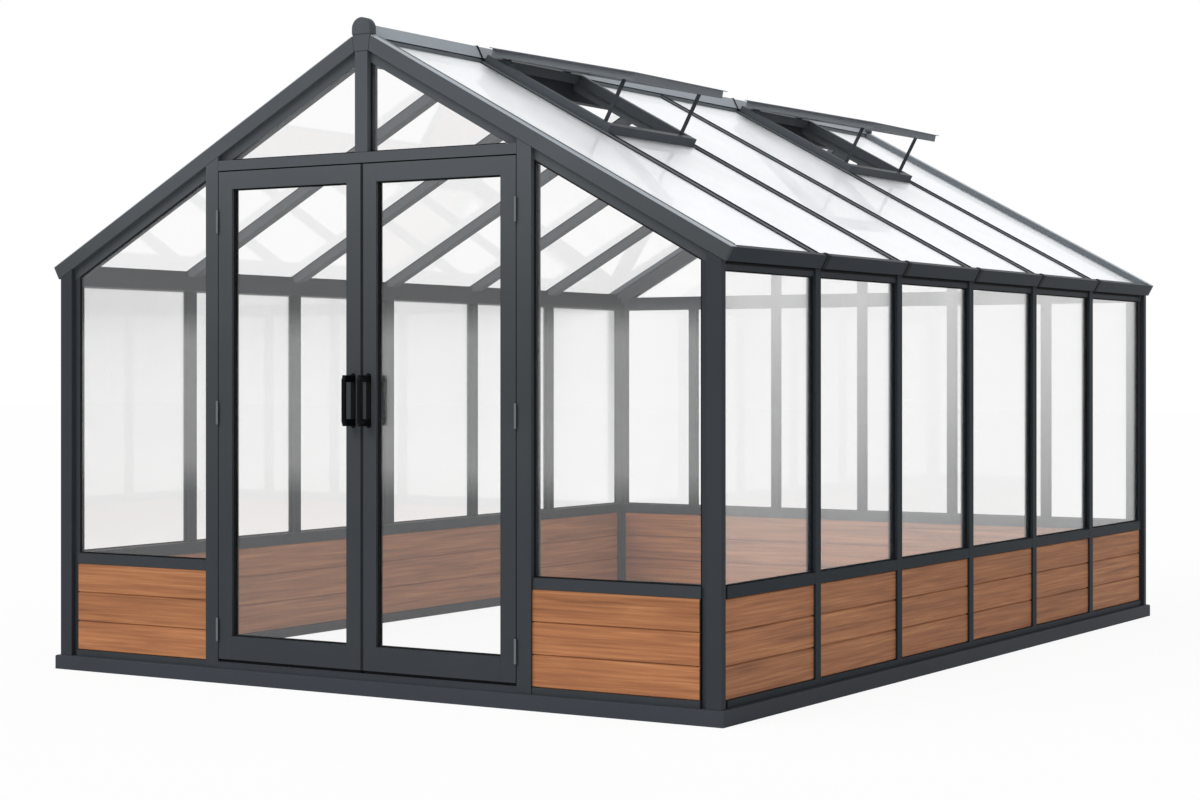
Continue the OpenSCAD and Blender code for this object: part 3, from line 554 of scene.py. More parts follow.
class Look(Enum):
    """Every finish of the greenhouse, each matched to its piece in the photograph."""

    # the base rails up to 54 mm are paler; above them the coat grows slightly paler with height,
    # painted light from above
    FRAME = PowderCoat(
        "Powder-coated aluminium frame",
        ((0.0, "#40444a"), (0.054, "#40444a"), (0.08, "#393d42"), (TALLEST, "#3c4045")),
    )
    # painted shade: a darker copy of the frame's coat for the side walls and eave fascias, which face
    # away from the key light
    SIDE_PAINTED_SHADE = coat("side", "#31373c", "#32383e")
    GABLE_PAINTED_LIGHT = PowderCoat("Powder-coated aluminium gable", PAINTED_LIGHT_UPWARD)
    DOOR_PAINTED_LIGHT = PowderCoat("Powder-coated aluminium door", PAINTED_LIGHT_UPWARD)
    # painted light: a paler copy of the frame's coat, so that the open sashes show as lit
    SASH_PAINTED_LIGHT = coat("sash", "#72777c", "#757a7f")
    CURB = coat("curb", "#4a4f54", "#4d5257")
    STAY = coat("stay", "#3a3e42", "#3d4145")
    # painted reflection: pale grey with a high shine for the sky that the ridge caps, their ends and
    # the verge strips reflect
    RIDGE_PAINTED_SHEEN = coat("ridge", "#98a1a9", "#9ca5ad", shine=0.3)
    # painted light: a mid grey paler than the frame, between the lit top and the shaded flank of the
    # roof bar caps and verge clamps
    BAR_CAP_PAINTED_LIGHT = coat("bar cap", "#666c71", "#6a7075")
    ROOF_BAR = coat("roof bar", "#5a5f63", "#5e6367")
    TRIM = PowderCoat("Matte black coated trim", ((0.0, "#1c1f22"), (TALLEST, "#222528")))
    HANDLE = PowderCoat(
        "Satin black handle enamel", ((0.0, "#0b0c0e"), (TALLEST, "#0f1113")), shine=0.05
    )
    GASKET = Rubber("EPDM gasket")
    BRUSH = Rubber("Door brush fibre", "#101113", "#26282b", bloom_mm=4.0)
    STEEL = BrushedSteel("Brushed stainless steel")
    # painted reflection: each wall's panes get a reflection haze whose share is set by height, on the
    # front in a band from 0.84 to 1.30 m
    SIDE_GLASS = FloatGlass(
        "Clear float glass side", ((0.45, 0.04), (0.8, 0.13), (1.0, 0.20), (1.5, 0.34))
    )
    FRONT_GLASS = FloatGlass(
        "Clear float glass front",
        ((0.45, 0.0), (0.72, 0.01), (0.84, 0.11), (1.30, 0.11), (1.42, 0.0), (2.3, 0.0)),
    )
    BACK_GLASS = FloatGlass("Clear float glass back", ((0.45, 0.03), (1.5, 0.04)))
    # painted reflection: at a glancing angle the roof shows a broad bright reflection haze instead of
    # what lies inside
    ROOF_GLASS = FloatGlass(
        "Clear float glass roof",
        ((1.5, 0.78), (2.4, 0.78)),
        painted_haze_colour="#fbfdff",
        blur=0.5,
        painted_haze_glance=((0.0, 0.15), (0.6, 0.3), (0.8, 1.0), (1.0, 1.0)),
    )
    # the left slope carries no painted reflection haze, so its bars show dark and sharp from inside
    LEFT_ROOF_GLASS = FloatGlass(
        "Clear float glass left roof",
        ((1.5, 0.0), (2.4, 0.0)),
        glance=((0.0, 0.04), (0.5, 0.05), (0.7, 0.09), (0.85, 0.35), (1.0, 1.0)),
    )
    VENT_GLASS = FloatGlass("Clear float glass vent", ((2.1, 0.12), (2.4, 0.12)))
    FRONT_BOARDS = TimberBoard(
        "Timber-look boards front",
        Grain.ALONG_X,
        BoardGrid(1.5, 0.0),
        across=1,
        lining_from=4.061,
        zero=2.0,
    )
    BACK_BOARDS = TimberBoard(
        "Timber-look boards back", Grain.ALONG_X, BoardGrid(0.5, 0.0), across=1, lining_from=2.1075
    )
    SIDE_BOARDS = TimberBoard(
        "Timber-look boards side", Grain.ALONG_Y, BoardGrid(BAY, BARS[2]), across=0, lining_from=1.454
    )
    FLOOR = StudioFloor("Matte studio floor")


@cache
def made(look: Look) -> Material:
    """Return a finish's material, made once."""
    return look.value.material()


# Surfaces


def build(name: str, points: Array, faces: list[list[int]]) -> Piece:
    """Make a mesh object at the origin from points and faces.

    Args:
        name: the piece's name.
        points: vertex positions, one row each, in metres.
        faces: vertex indices of each face.

    Returns:
        The new object.
    """
    mesh = bpy.data.meshes.new(name)
    mesh.from_pydata(points.tolist(), [], faces)
    mesh.validate()
    mesh.shade_smooth()
    mesh.set_sharp_from_angle(angle=CREASE)
    piece = bpy.data.objects.new(name, mesh)
    bpy.context.scene.collection.objects.link(piece)
    return piece


def finished(name: str, shells: list[Shell], look: Look, body: str) -> Piece:
    """Join closed shells into one piece, turn its faces outward, finish it and let it ride.

    Args:
        name: the piece's name.
        shells: points and faces of each shell.
        look: the piece's finish.
        body: name of the body that carries it.

    Returns:
        The new piece.
    """
    starts = np.cumsum([0] + [len(points) for points, _ in shells[:-1]])
    groups = [(int(start), faces) for start, (_, faces) in zip(starts, shells)]
    joined = [[i + start for i in face] for start, faces in groups for face in faces]
    piece = build(name, np.concatenate([points for points, _ in shells]), joined)
    outward = bmesh.new()
    outward.from_mesh(piece.data)
    bmesh.ops.recalc_face_normals(outward, faces=outward.faces[:])
    outward.to_mesh(piece.data)
    outward.free()
    piece.data.materials.append(made(look))
    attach(piece, body)
    LOG.info("%s rides on %s", name, body)
    return piece


def dress(look: Look, *nodes: str) -> None:
    """Give nodes of the frame their finish.

    Args:
        look: the finish for all of their slots.
        *nodes: the nodes' names.
    """
    for node in nodes:
        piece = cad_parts[node]
        if not piece.material_slots:
            piece.data.materials.append(made(look))
        for place in piece.material_slots:
            place.material = made(look)
        LOG.info("%s dressed in %s", node, look.value.name)


def closed(rings: Array) -> Shell:
    """Skin a stack of closed rings with quads and cap both of its ends.

    A quad joins a point to the next one in its ring and to the same two in the next ring;
    the last point of a ring is followed by its first.

    Args:
        rings: points by ring, place in the ring and coordinate.

    Returns:
        Points and faces.
    """
    rows, columns = rings.shape[:2]
    row, column = np.meshgrid(np.arange(rows - 1), np.arange(columns), indexing="ij")
    here = row * columns + column
    after = row * columns + (column + 1) % columns
    quads = np.stack([here, after, after + columns, here + columns], axis=-1)
    first = list(range(columns))
    last = [(rows - 1) * columns + i for i in first]
    return rings.reshape(-1, 3), quads.reshape(-1, 4).tolist() + [first[::-1], last]


def rounded_section(wide: float, high: float, radius: float, steps: int = 4) -> Array:
    """Outline a rectangle with rounded corners, anticlockwise, centred on zero.

    Each corner is a quarter circle about a centre set in by the radius; the four arcs
    follow one another and the straight sides lie between them.

    Args:
        wide: full width.
        high: full height.
        radius: corner radius.
        steps: points along each corner less one.

    Returns:
        One row of two coordinates per point.
    """
    quarter = np.linspace(0.0, math.pi / 2, steps + 1)
    turns = np.arange(4)[:, None] * math.pi / 2 + quarter[None, :]
    side = np.array([1.0, -1.0, -1.0, 1.0])[:, None] * (wide / 2 - radius)
    rise = np.array([1.0, 1.0, -1.0, -1.0])[:, None] * (high / 2 - radius)
    outline = [(side + radius * np.cos(turns)).ravel(), (rise + radius * np.sin(turns)).ravel()]
    return np.stack(outline, -1)


def swept(path: Array, across: Array, section: Array) -> Shell:
    """Carry a closed section along a plane path and close both ends.

    A point of the surface is the path's point, plus the section's first coordinate times
    the across direction, plus its second coordinate times the path's own normal, which is
    the across direction crossed with the path's tangent.

    Args:
        path: points of the path, one row each.
        across: unit vector square to the path's plane.
        section: outline, one row of two coordinates per point.

    Returns:
        Points and faces of the closed tube.
    """
    tangent = np.gradient(path, axis=0)
    tangent /= np.linalg.norm(tangent, axis=1, keepdims=True)
    normal = np.cross(tangent, across[None, :])
    sideways = section[None, :, :1] * across[None, None, :]
    return closed(path[:, None, :] + sideways + section[None, :, 1:] * normal[:, None, :])


def filleted(corners: Array, radius: float) -> Array:
    """Round the inner corners of an open polyline with arcs of eight points.

    An arc starts and ends at the radius from the corner. Its points are the corner plus
    the radius times one minus the sine of the turn along the leg back, and one minus its
    cosine along the leg ahead.

    Args:
        corners: points of the polyline in one plane, with right-angled turns.
        radius: radius of the arcs.

    Returns:
        The rounded path's points.
    """
    turn = np.linspace(0.0, math.pi / 2, 8)[None, :, None]
    corner = corners[1:-1]
    back = corners[:-2] - corner
    back /= np.linalg.norm(back, axis=1, keepdims=True)
    ahead = corners[2:] - corner
    ahead /= np.linalg.norm(ahead, axis=1, keepdims=True)
    bend = back[:, None, :] * (1.0 - np.sin(turn)) + ahead[:, None, :] * (1.0 - np.cos(turn))
    arcs = corner[:, None, :] + radius * bend
    return np.concatenate([corners[:1], arcs.reshape(-1, 3), corners[-1:]])


def turned(profile: Array, centre: Array, axis: Array, sides: int) -> Shell:
    """Turn a profile about an axis.

    A point of the surface is the centre, plus the profile's height along the axis, plus
    its radius times a unit vector that goes once round the axis.

    Args:
        profile: rows of radius and height, from the foot to the crown, in metres.
        centre: where height is zero.
        axis: unit direction of height.
        sides: points round the axis.

    Returns:
        Points and faces of the closed shape.
    """
    first = np.cross(axis, ALONG_X if abs(axis[0]) < 0.8 else ALONG_Y)
    first /= np.linalg.norm(first)
    angle = np.arange(sides)[:, None] * 2 * math.pi / sides
    spokes = np.cos(angle) * first + np.sin(angle) * np.cross(axis, first)
    risen = centre + profile[:, None, 1:] * axis[None, None, :]
    return closed(risen + profile[:, None, :1] * spokes[None, :, :])


def dome_head(radius: float, high: float) -> Array:
    """Profile of a domed screw head with a short straight rim and five points of dome.

    The rim takes a quarter of the height. Above it the radius falls as a cosine while the
    height rises as a sine, up to 0.92 of the quarter turn, where a flat crown closes it.

    Args:
        radius: radius of the rim.
        high: height of the crown.

    Returns:
        Rows of radius and height.
    """
    rim, turn = 0.25, 0.92
    bend = np.linspace(0.0, math.pi / 2 * turn, 5)
    dome = np.stack([radius * np.cos(bend), high * (rim + (1.0 - rim) * np.sin(bend))], -1)
    return np.concatenate([[[radius, 0.0]], dome])


def on_roof(down: float, rise: float, sign: float = 1.0) -> Span:
    """Find a place on a roof slope from its distance down the slope and square to it.

    Args:
        down: distance from the ridge line down the slope.
        rise: height square to the slope above the barge boards' top line.
        sign: 1 for the right slope, -1 for the left one.

    Returns:
        X and Z.
    """
    x = down * math.cos(SLOPE) + rise * math.sin(SLOPE)
    return sign * x, APEX - down * math.sin(SLOPE) + rise * math.cos(SLOPE)


def off_roof(sign: float) -> Array:
    """Return the unit vector that stands square on a slope."""
    return np.array([sign * math.sin(SLOPE), 0.0, math.cos(SLOPE)])


def gable_faces() -> tuple[Span, Span]:
    """Return Y of each gable's outer face and the sign that leads into the house."""
    low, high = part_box("barge_boards")
    return (float(low[1]), 1.0), (float(high[1]), -1.0)


# Sub-assemblies


class WallsAndBase:
    """Base, posts, rails, mullions, knee wall and wall panes."""

    def dress(self) -> None:
        """Give the walls their finishes."""
        dress(Look.GABLE_PAINTED_LIGHT, "front_jambs", "door_header", "king_post")
        dress(Look.GABLE_PAINTED_LIGHT, "front_sill_rails", "front_mid_rails")
        dress(Look.SIDE_PAINTED_SHADE, "side_sill_rails", "side_mid_rails", "side_mullions", "side_mullion_caps")
        dress(Look.FRAME, "base_rails", "base_corner_joiners", "corner_posts", "door_threshold")
        dress(Look.FRAME, "back_sill_rails", "back_mid_rails", "back_mullions")
        dress(Look.FRAME, "back_mullion_caps", "back_transom")
        dress(Look.FRONT_GLASS, "front_glass", "gable_glass")
        dress(Look.SIDE_GLASS, "side_glass")
        dress(Look.BACK_GLASS, "back_glass")
        dress(Look.FRONT_BOARDS, "front_boards")
        dress(Look.BACK_BOARDS, "back_boards")
        dress(Look.SIDE_BOARDS, "side_boards")
        dress(Look.GASKET, "glazing_seals", "door_stops")


@dataclass
class Roof:
    """Eaves, rafters, ridge, roof bars and roof panes, with their seals and screws."""

    # distance of the roof's edge down the slope, and the upper face of a joint cover
    tip: float = 1.536 / math.cos(SLOPE)
    cover_rise: float = 0.0025
    screw_in: float = 0.009
    screw_step: float = 0.008
    screw_r: float = 0.0032
    screw_high: float = 0.0016
    screw_sides: int = 14
    # black strips under the eave trims: painted shade, a dark line where the trims' shadow falls
    shadow_line_x: float = 1.4862
    shadow_line_z: float = 1.5455
    shadow_line_wide: float = 0.004
    shadow_line_high: float = 0.009
    shadow_line_round: float = 0.0018
    # seals beside the roof bar caps, from the glass face up: low in front, and high behind, where the
    # tall black strip is painted shade for the cap's shadow
    glass_rise: float = -0.0219
    cap_half: float = 0.013
    seal_wide: float = 0.007
    seal_and_shade_highs: Span = (0.003, 0.010)
    seal_start: float = 0.050
    eave_strip: float = 0.0205
    # the bar and its side where a vent's curb stands, and the seal's gap below the curb
    beside_curb: tuple[tuple[int, float], ...] = ((0, 1.0), (1, -1.0), (3, 1.0), (4, -1.0))
    below_curb: float = 0.004
    # strips on the verge: near and far edge from the gable's face, lowest and highest rise
    # painted highlight: the pale strip on top of the barge boards stands for their lit top
    verge_highlight: Strip = (0.0, 0.040, 0.0001, 0.003)
    verge_seal: Strip = (0.040, 0.0437, -0.0219, 0.0024)
    clamp: Strip = (0.0437, 0.0620, -0.0219, 0.003)
    verge_highlight_end: float = 0.0005
    # a strip's edges have a radius of a third of its thickness, up to this thickness
    lath_thick: float = 0.003

    def dress(self) -> None:
        """Give the roof its finishes and lay its seals, strips and screws."""
        dress(Look.FRAME, "eave_beams", "ridge_beam")
        dress(Look.GABLE_PAINTED_LIGHT, "gable_rafters", "barge_boards")
        dress(Look.SIDE_PAINTED_SHADE, "eave_fascias")
        dress(Look.ROOF_BAR, "roof_bars")
        dress(Look.BAR_CAP_PAINTED_LIGHT, "roof_bar_caps")
        dress(Look.RIDGE_PAINTED_SHEEN, "ridge_caps")
        dress(Look.TRIM, "ridge_saddles", "eave_joint_covers")
        dress(Look.LEFT_ROOF_GLASS, "left_roof_glass")
        dress(Look.ROOF_GLASS, "right_roof_glass")
        self.cover_screws()
        self.eave_shadow_lines()
        self.bar_seals_and_shade()
        self.verges()

    def cover_screws(self) -> None:
        """Set two domed screws on the upper leg of each eave joint cover."""
        head = dome_head(self.screw_r, self.screw_high)
        shells = []
        for sign, bar, step in product(SIGNS, BARS, SIGNS):
            x, z = on_roof(self.tip - self.screw_in, self.cover_rise, sign)
            centre = np.array([x, bar + step * self.screw_step, z])
            shells.append(turned(head, centre, off_roof(sign), self.screw_sides))
        finished("eave_cover_screws", shells, Look.TRIM, "frame")

    def eave_shadow_lines(self) -> None:
        """Lay a black strip along each bay in the corner under the eave trim, a painted shadow line.
        """
        starts = (WALL_ENDS[0],) + tuple(bar + BAR_HALF for bar in BARS)
        ends = tuple(bar - BAR_HALF for bar in BARS) + (WALL_ENDS[1],)
        shadow_line_section = rounded_section(self.shadow_line_wide, self.shadow_line_high, self.shadow_line_round)
        shells = []
        for sign, bay in product(SIGNS, zip(starts, ends)):
            path = np.array([[sign * self.shadow_line_x, y, self.shadow_line_z] for y in bay])
            shells.append(swept(path, ALONG_X, shadow_line_section))
        finished("eave_painted_shadow_lines", shells, Look.GASKET, "frame")

    def lath(self, sign: float, edges: Span, rises: Span, ends: Span) -> Shell:
        """Lay a straight strip with rounded edges down a slope.

        Args:
            sign: 1 for the right slope, -1 for the left one.
            edges: its two edges along Y.
            rises: lowest and highest rise above the barge boards' top line.
            ends: distances down the slope where it starts and ends.

        Returns:
            Points and faces.
        """
        spots = [on_roof(down, sum(rises) / 2, sign) for down in ends]
        path = np.array([[x, sum(edges) / 2, z] for x, z in spots])
        thick = rises[1] - rises[0]
        wide = abs(edges[1] - edges[0])
        section = rounded_section(thick, wide, min(thick, self.lath_thick) / 3)
        return swept(path, off_roof(sign), section)

    def bar_seals_and_shade(self) -> None:
        """Lay a seal on each side of every roof bar's cap, clear of the vents' curbs; the tall one
        behind each cap is painted shade, a black strip for the cap's shadow.
        """
        curb_foot = float(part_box("vent_curbs")[1][0]) / math.cos(SLOPE) + self.below_curb
        sides = tuple(zip(SIGNS, self.seal_and_shade_highs))
        shells = []
        for sign, (number, bar), (side, high) in product(SIGNS, enumerate(BARS), sides):
            near = bar + side * self.cap_half
            by_vent = sign > 0 and (number, side) in self.beside_curb
            ends = (curb_foot if by_vent else self.seal_start, self.tip - self.eave_strip)
            rises = (self.glass_rise, self.glass_rise + high)
            shells.append(self.lath(sign, (near, near + side * self.seal_wide), rises, ends))
        finished("roof_bar_seals_and_shade", shells, Look.GASKET, "frame")

    def verges(self) -> None:
        """Lay on the four verges a pale strip that paints the lit top of the barge boards (painted
        highlight), a seal line and an inner clamp.
        """
        for name, strip, look, slot, edge in (
            ("verge_painted_highlights", self.verge_highlight, Look.RIDGE_PAINTED_SHEEN, "ridge_metal", self.verge_highlight_end),
            ("verge_seals", self.verge_seal, Look.GASKET, "gasket", self.eave_strip),
            ("verge_clamps", self.clamp, Look.BAR_CAP_PAINTED_LIGHT, "frame_metal", self.eave_strip),
        ):
            near, far, low, high = strip
            ends = (self.seal_start, self.tip - edge)
            shells = []
            for (face, inward), sign in product(gable_faces(), SIGNS):
                edges = (face + inward * near, face + inward * far)
                shells.append(self.lath(sign, edges, (low, high), ends))
            finished(name, shells, look, "frame")


@dataclass
class Finials:
    """The two finials: a boss between the barge boards under a rounded cap."""

    half: float = 0.0415
    # height of the cap, and insets of its outline with their places from the gable's face
    cap_high: float = 0.061
    cap_rows: tuple[Span, ...] = (
        (0.0040, -0.0040),
        (0.0012, -0.0028),
        (0.0, 0.0),
        (0.0, 0.0340),
        (0.0012, 0.0368),
        (0.0040, 0.0380),
    )
    # the boss: half widths of foot and head, height of its foot, insets and places
    boss_halves: Span = (0.032, 0.0402)
    boss_low: float = 2.3535
    boss_rows: tuple[Span, ...] = ((0.0012, -0.0012), (0.0, 0.0), (0.0, 0.0200))
    # the ridge cap's end under the finial: half widths, heights, insets and places
    ridge_halves: Span = (0.030, 0.006)
    ridge_zs: Span = (2.408, 2.455)
    ridge_rows: tuple[Span, ...] = ((0.0, 0.0202), (0.0, 0.0860))

    def cap(self, inset: float, top: float) -> Array:
        """Outline the cap: a half circle over straight sides, drawn in by the inset.

        Args:
            inset: how far the outline is drawn in.
            top: height of the cap's crown before it is drawn in.

        Returns:
            Rows of X and Z.
        """
        turn = np.linspace(0.0, math.pi, 33)
        radius = self.half - inset
        arc = np.stack([radius * np.cos(turn), top - self.half + radius * np.sin(turn)], -1)
        low = top - self.cap_high
        return np.concatenate([[[radius, low]], arc, [[-radius, low]]])

    def taper(self, inset: float, halves: Span, zs: Span) -> Array:
        """Outline a plate with slanted sides, drawn in by the inset.

        Args:
            inset: how far the sides and the foot are drawn in.
            halves: half widths of the foot and the head.
            zs: heights of the foot and the head.

        Returns:
            Rows of X and Z.
        """
        low, high = halves[0] - inset, halves[1] - inset
        foot, head = zs[0] + inset, zs[1]
        return np.array([[low, foot], [high, head], [-high, head], [-low, foot]])

    def lofted(self, outlines: list[Array], rows: tuple[Span, ...], gable: Span) -> Shell:
        """Set outlines one behind the other along Y and close both ends.

        Args:
            outlines: rows of X and Z, one outline per row.
            rows: insets and places of the outlines.
            gable: Y of the gable's face and the sign that leads inward.

        Returns:
            Points and faces.
        """
        face, inward = gable
        spots = zip(outlines, rows)
        rings = [np.insert(flat, 1, face + inward * place, axis=1) for flat, (_, place) in spots]
        return closed(np.stack(rings))

    def dress(self) -> None:
        """Build both finials and the ridge cap's ends that run under them."""
        top = float(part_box("finials")[1][2])
        boss_zs = (self.boss_low, top - self.cap_high)
        caps = [self.cap(inset, top) for inset, _ in self.cap_rows]
        plates = [self.taper(inset, self.boss_halves, boss_zs) for inset, _ in self.boss_rows]
        bars = [self.taper(inset, self.ridge_halves, self.ridge_zs) for inset, _ in self.ridge_rows]
        heads = []
        ends = []
        for gable in gable_faces():
            heads.append(self.lofted(caps, self.cap_rows, gable))
            heads.append(self.lofted(plates, self.boss_rows, gable))
            ends.append(self.lofted(bars, self.ridge_rows, gable))
        finials = finished("rounded_finials", heads, Look.GABLE_PAINTED_LIGHT, "frame")
        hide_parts("finials")
        finished("ridge_cap_ends", ends, Look.RIDGE_PAINTED_SHEEN, "frame")


@dataclass
class PullHandle:
    """A D-shaped pull handle: a swept bar on two posts with a long back plate."""

    x: float
    face_y: float
    outward: float
    centre_z: float = 1.076
    high: float = 0.186
    reach: float = 0.062
    bar_wide: float = 0.018
    bar_deep: float = 0.012
    bar_round: float = 0.004
    bend: float = 0.014
    plate_wide: float = 0.020
    plate_high: float = 0.200
    plate_deep: float = 0.003
    plate_round: float = 0.0095
    screw_step: float = 0.045
    screw_r: float = 0.0036
    screw_high: float = 0.0018
    screw_sides: int = 16
    post_high: float = 0.026
    post_wide: float = 0.016

    def at(self, out: float, z: float) -> list[float]:
        """Return a point in the handle's middle plane by its distance from the leaf."""
        return [self.x, self.face_y + self.outward * out, z]

    def shells(self) -> list[Shell]:
        """Carry a rounded bar along the D and add the back plate, the posts and the screws.

        Returns:
            Points and faces of each shell.
        """
        inset = self.bar_deep / 2
        foot, out = self.plate_deep * 0.5, self.reach - inset
        top = self.centre_z + self.high / 2 - inset
        low = self.centre_z - self.high / 2 + inset
        corners = [self.at(foot, top), self.at(out, top), self.at(out, low), self.at(foot, low)]
        bar = rounded_section(self.bar_wide, self.bar_deep, self.bar_round)
        plate = rounded_section(self.plate_wide, self.plate_high, self.plate_round, steps=6)
        plate_path = [self.at(0.0, self.centre_z), self.at(self.plate_deep, self.centre_z)]
        shells = [
            swept(filleted(np.array(corners), self.bend), ALONG_X, bar),
            swept(np.array(plate_path), ALONG_X, plate),
        ]
        post = rounded_section(self.post_wide, self.post_high, self.bar_round)
        for middle in (top + inset - self.post_high / 2, low - inset + self.post_high / 2):
            path = np.array([self.at(foot, middle), self.at(out, middle)])
            shells.append(swept(path, ALONG_X, post))
        head = dome_head(self.screw_r, self.screw_high)
        for sign in SIGNS:
            seat = self.at(self.plate_deep, self.centre_z + sign * self.screw_step)
            shells.append(turned(head, np.array(seat), self.outward * ALONG_Y, self.screw_sides))
        return shells


class Side(Enum):
    """Which door leaf: its sign along X."""

    LEFT = -1
    RIGHT = 1


@dataclass
class Door:
    """One door leaf with its pane, seals, hinges, pull handles, screws and brush strip."""

    side: Side
    front_y: float
    leaf_deep: float = 0.040
    handle_x: float = 0.0355
    brush_ends: Span = (0.006, 0.676)
    brush_zs: Span = (0.0815, 0.091)
    brush_y: float = 0.016
    brush_half: float = 0.003
    tufts: int = 134
    tuft_wide: float = 0.005
    # the rubber lip between the leaves: middle, width, depth and corner radius
    seal_x: float = 0.0
    seal_y: float = 0.0085
    seal_wide: float = 0.0048
    seal_deep: float = 0.014
    seal_round: float = 0.0015
    seal_zs: Span = (0.092, 1.939)
    # the black strip on the right leaf's face beside the lip: painted shade that widens the gap's
    # dark line
    gap_shade_x: float = 0.0034
    gap_shade_y: float = -0.0004
    gap_shade_wide: float = 0.0116
    gap_shade_deep: float = 0.0016
    gap_shade_round: float = 0.0007

    @property
    def body(self) -> str:
        """Name of the leaf's body."""
        return "left_door" if self.side is Side.LEFT else "right_door"

    def dress(self) -> None:
        """Finish the leaf's nodes and build its handles, its brush, and the meeting lip with its
        painted gap shade.
        """
        dress(Look.DOOR_PAINTED_LIGHT, f"{self.body}_frame")
        dress(Look.FRONT_GLASS, f"{self.body}_glass")
        dress(Look.GASKET, f"{self.body}_seals")
        dress(Look.STEEL, f"{self.body}_hinge_leaves")
        x = self.side.value * self.handle_x
        outer = PullHandle(x, self.front_y, -1.0).shells()
        inner = PullHandle(x, self.front_y + self.leaf_deep, 1.0).shells()
        name = f"{self.body}_pulls"
        pulls = finished(name, outer + inner, Look.HANDLE, self.body)
        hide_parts(f"{self.body}_handles")
        self.brush()
        if self.side is Side.RIGHT:
            self.meeting_seal()

    def brush(self) -> None:
        """Hang a brush strip under the leaf.

        Its two flanks are one surface over the length and the height: the half depth is
        0.7 of the full one, plus 0.3 of it that fades with height and swings by half with
        a sine along the length, one wave to a tuft.
        """
        length = np.linspace(self.brush_ends[0], self.brush_ends[1], self.tufts * 4 + 1)
        along, up = np.meshgrid(length, np.linspace(0.0, 1.0, 4), indexing="ij")
        tuft = np.sin((along - self.brush_ends[0]) / self.tuft_wide * 2 * math.pi)
        half = self.brush_half * (0.7 + 0.3 * (1.0 - up) * (1.0 + 0.5 * tuft))
        x = self.side.value * along
        z = self.brush_zs[0] + up * (self.brush_zs[1] - self.brush_zs[0])
        middle = self.front_y + self.brush_y
        near = np.stack([x, middle - half, z], -1)
        far = np.stack([x, middle + half, z], -1)[:, ::-1]
        strip = closed(np.concatenate([near, far], axis=1))
        finished(f"{self.body}_brush", [strip], Look.BRUSH, self.body)

    def meeting_seal(self) -> None:
        """Set a rubber lip between the two leaves, with a narrow black strip over the gap that is
        painted shade.
        """
        shells = []
        for x, y, wide, deep, radius in (
            (self.seal_x, self.seal_y, self.seal_wide, self.seal_deep, self.seal_round),
            (self.gap_shade_x, self.gap_shade_y, self.gap_shade_wide, self.gap_shade_deep, self.gap_shade_round),
        ):
            path = np.array([[x, self.front_y + y, z] for z in self.seal_zs])
            shells.append(swept(path, ALONG_X, rounded_section(wide, deep, radius)))
        finished("door_meeting_lip_and_gap_shade", shells, Look.GASKET, self.body)


@dataclass
class Vent:
    """One roof vent: its sash, pane, stays and their rivets."""

    number: int
    # middle of the vent's bay along Y
    middle: float
    # the stays: distance down the slope, heights of foot and head, and inner face
    stay_down: float = 0.6317
    foot: float = 0.0045
    head: float = 0.1945
    stay_half: float = 0.28733
    head_deep: float = 0.003
    rivet_r: float = 0.0064
    rivet_high: float = 0.0026
    rivet_sides: int = 20

    def dress(self) -> None:
        """Finish the vent's nodes and cap its rivets and pins."""
        body = f"vent_{self.number}"
        dress(Look.SASH_PAINTED_LIGHT, f"{body}_sash")
        dress(Look.VENT_GLASS, f"{body}_glass")
        dress(Look.STAY, f"{body}_stays")
        self.rivets(f"{body}_foot_rivets", f"{body}_arms", self.foot, 0.0)
        self.rivets(f"{body}_pin_caps", body, self.head, self.head_deep)

    def rivets(self, name: str, body: str, rise: float, inset: float) -> None:
        """Set a dome on the inner face of both stays.

        Args:
            name: the piece's name.
            body: name of the body that carries it.
            rise: the domes' height square to the slope.
            inset: how far they are drawn in towards the vent's middle.
        """
        x, z = on_roof(self.stay_down, rise)
        head = dome_head(self.rivet_r, self.rivet_high)
        shells = []
        for sign in SIGNS:
            centre = np.array([x, self.middle + sign * (self.stay_half - inset), z])
            shells.append(turned(head, centre, -sign * ALONG_Y, self.rivet_sides))
        finished(name, shells, Look.TRIM, body)


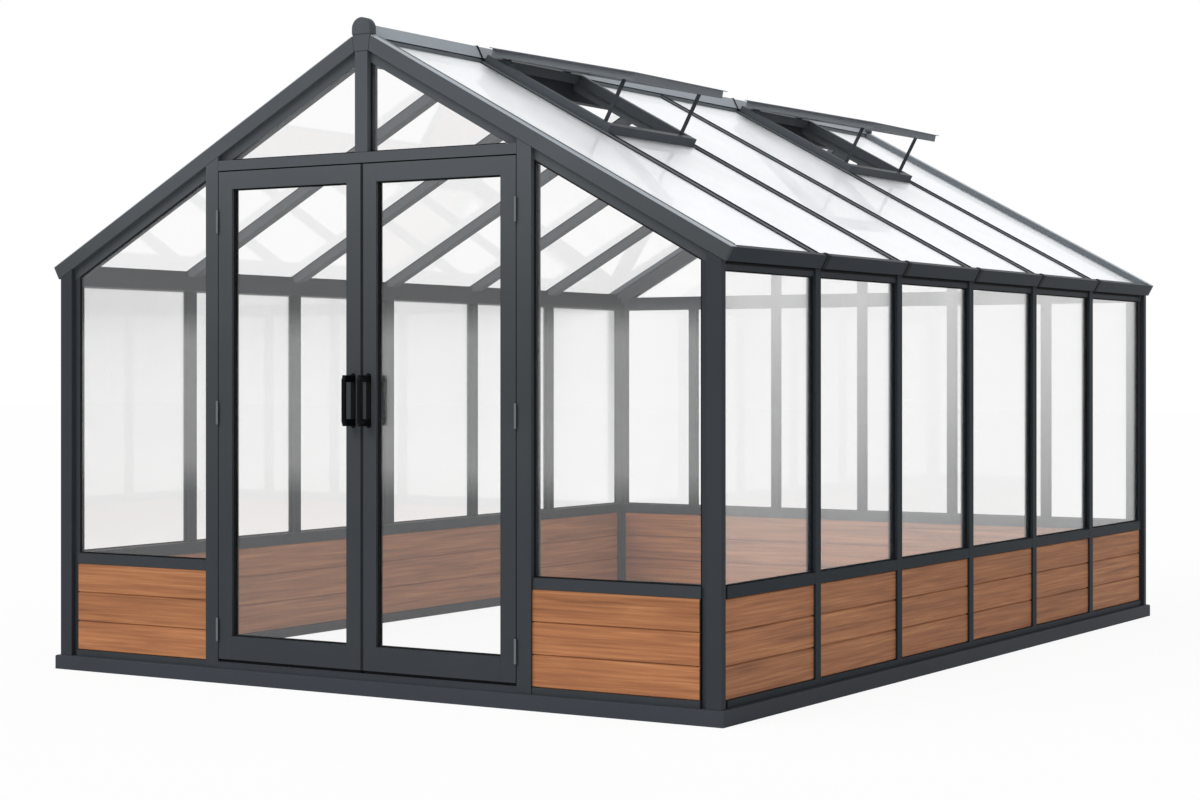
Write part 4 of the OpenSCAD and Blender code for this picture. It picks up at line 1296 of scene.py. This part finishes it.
@dataclass
class Studio:
    """Pale floor, white surroundings, a soft lamp and the camera."""

    # camera fitted to the photograph: lens, viewpoint, turn about Z and upward shift
    sensor_mm: float = 36.0
    lens_mm: float = 71.28
    place: tuple[float, float, float] = (5.309, -9.0249, 1.1779)
    turn: float = 0.5543
    shift: float = -0.02276
    farthest: float = 300.0
    floor_half: float = 60.0
    sky: float = 0.62
    sun: float = 1.5
    sun_wide_deg: float = 40.0
    sun_turn_deg: tuple[float, float, float] = (48.0, 0.0, -22.0)

    def camera(self) -> None:
        """Set the camera at the photograph's viewpoint."""
        lens = bpy.data.cameras.new("camera")
        lens.sensor_width = self.sensor_mm
        lens.lens = self.lens_mm
        lens.shift_y = self.shift
        lens.clip_end = self.farthest
        camera = bpy.data.objects.new("camera", lens)
        camera.location = self.place
        camera.rotation_euler = (math.pi / 2, 0.0, self.turn)
        bpy.context.scene.collection.objects.link(camera)
        bpy.context.scene.camera = camera

    def floor(self) -> None:
        """Lay a flat floor under the base that shows white and keeps a soft shadow."""
        square = np.array([[-1.0, -1.0, 0.0], [1.0, -1.0, 0.0], [1.0, 1.0, 0.0], [-1.0, 1.0, 0.0]])
        floor = build("studio_floor", self.floor_half * square, [[0, 1, 2, 3]])
        floor.data.materials.append(made(Look.FLOOR))

    def world(self) -> None:
        """Surround the object with plain soft light that shows as white."""
        world = bpy.data.worlds.new("Studio surroundings")
        bpy.context.scene.world = world
        world.use_nodes = True
        sheet = Sheet(world.node_tree)
        values = {"To Min": self.sky, "To Max": 1.0}
        strength = sheet.add("MapRange", values, {"Value": sheet.seen_rays()})
        light = sheet.add("Background", {"Color": linear("#ffffff")}, {"Strength": strength})
        sheet.add("OutputWorld", links={"Surface": light})

    def lamps(self) -> None:
        """Set one broad soft key from the front left above."""
        lamp = bpy.data.lights.new("soft_key", "SUN")
        lamp.energy = self.sun
        lamp.angle = math.radians(self.sun_wide_deg)
        key = bpy.data.objects.new("soft_key", lamp)
        key.rotation_euler = tuple(math.radians(turn) for turn in self.sun_turn_deg)
        bpy.context.scene.collection.objects.link(key)

    def set_up(self) -> None:
        """Build the whole studio."""
        bpy.context.scene.view_settings.view_transform = "Standard"
        self.camera()
        self.floor()
        self.world()
        self.lamps()


def plain(box: tuple[Any, Any]) -> list[list[float]]:
    """Turn a pair of corners into plain lists."""
    return [[float(v) for v in corner] for corner in box]


def main() -> None:
    """Dress the greenhouse, build its fittings and set up the studio."""
    logging.basicConfig(level=logging.INFO, format="%(name)s: %(message)s")
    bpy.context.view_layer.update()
    front_y = float(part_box("front_jambs")[0][1])
    Studio().set_up()
    WallsAndBase().dress()
    Roof().dress()
    Finials().dress()
    for side in Side:
        Door(side, front_y).dress()
    for number, first_bar in ((1, BARS[0]), (2, BARS[3])):
        Vent(number, first_bar + BAY / 2).dress()
    dress(Look.CURB, "vent_curbs")
    dress(Look.STEEL, "vent_hinge_pins", "door_hinge_frame_leaves", "door_hinge_pins")


if __name__ == "__main__":
    main()
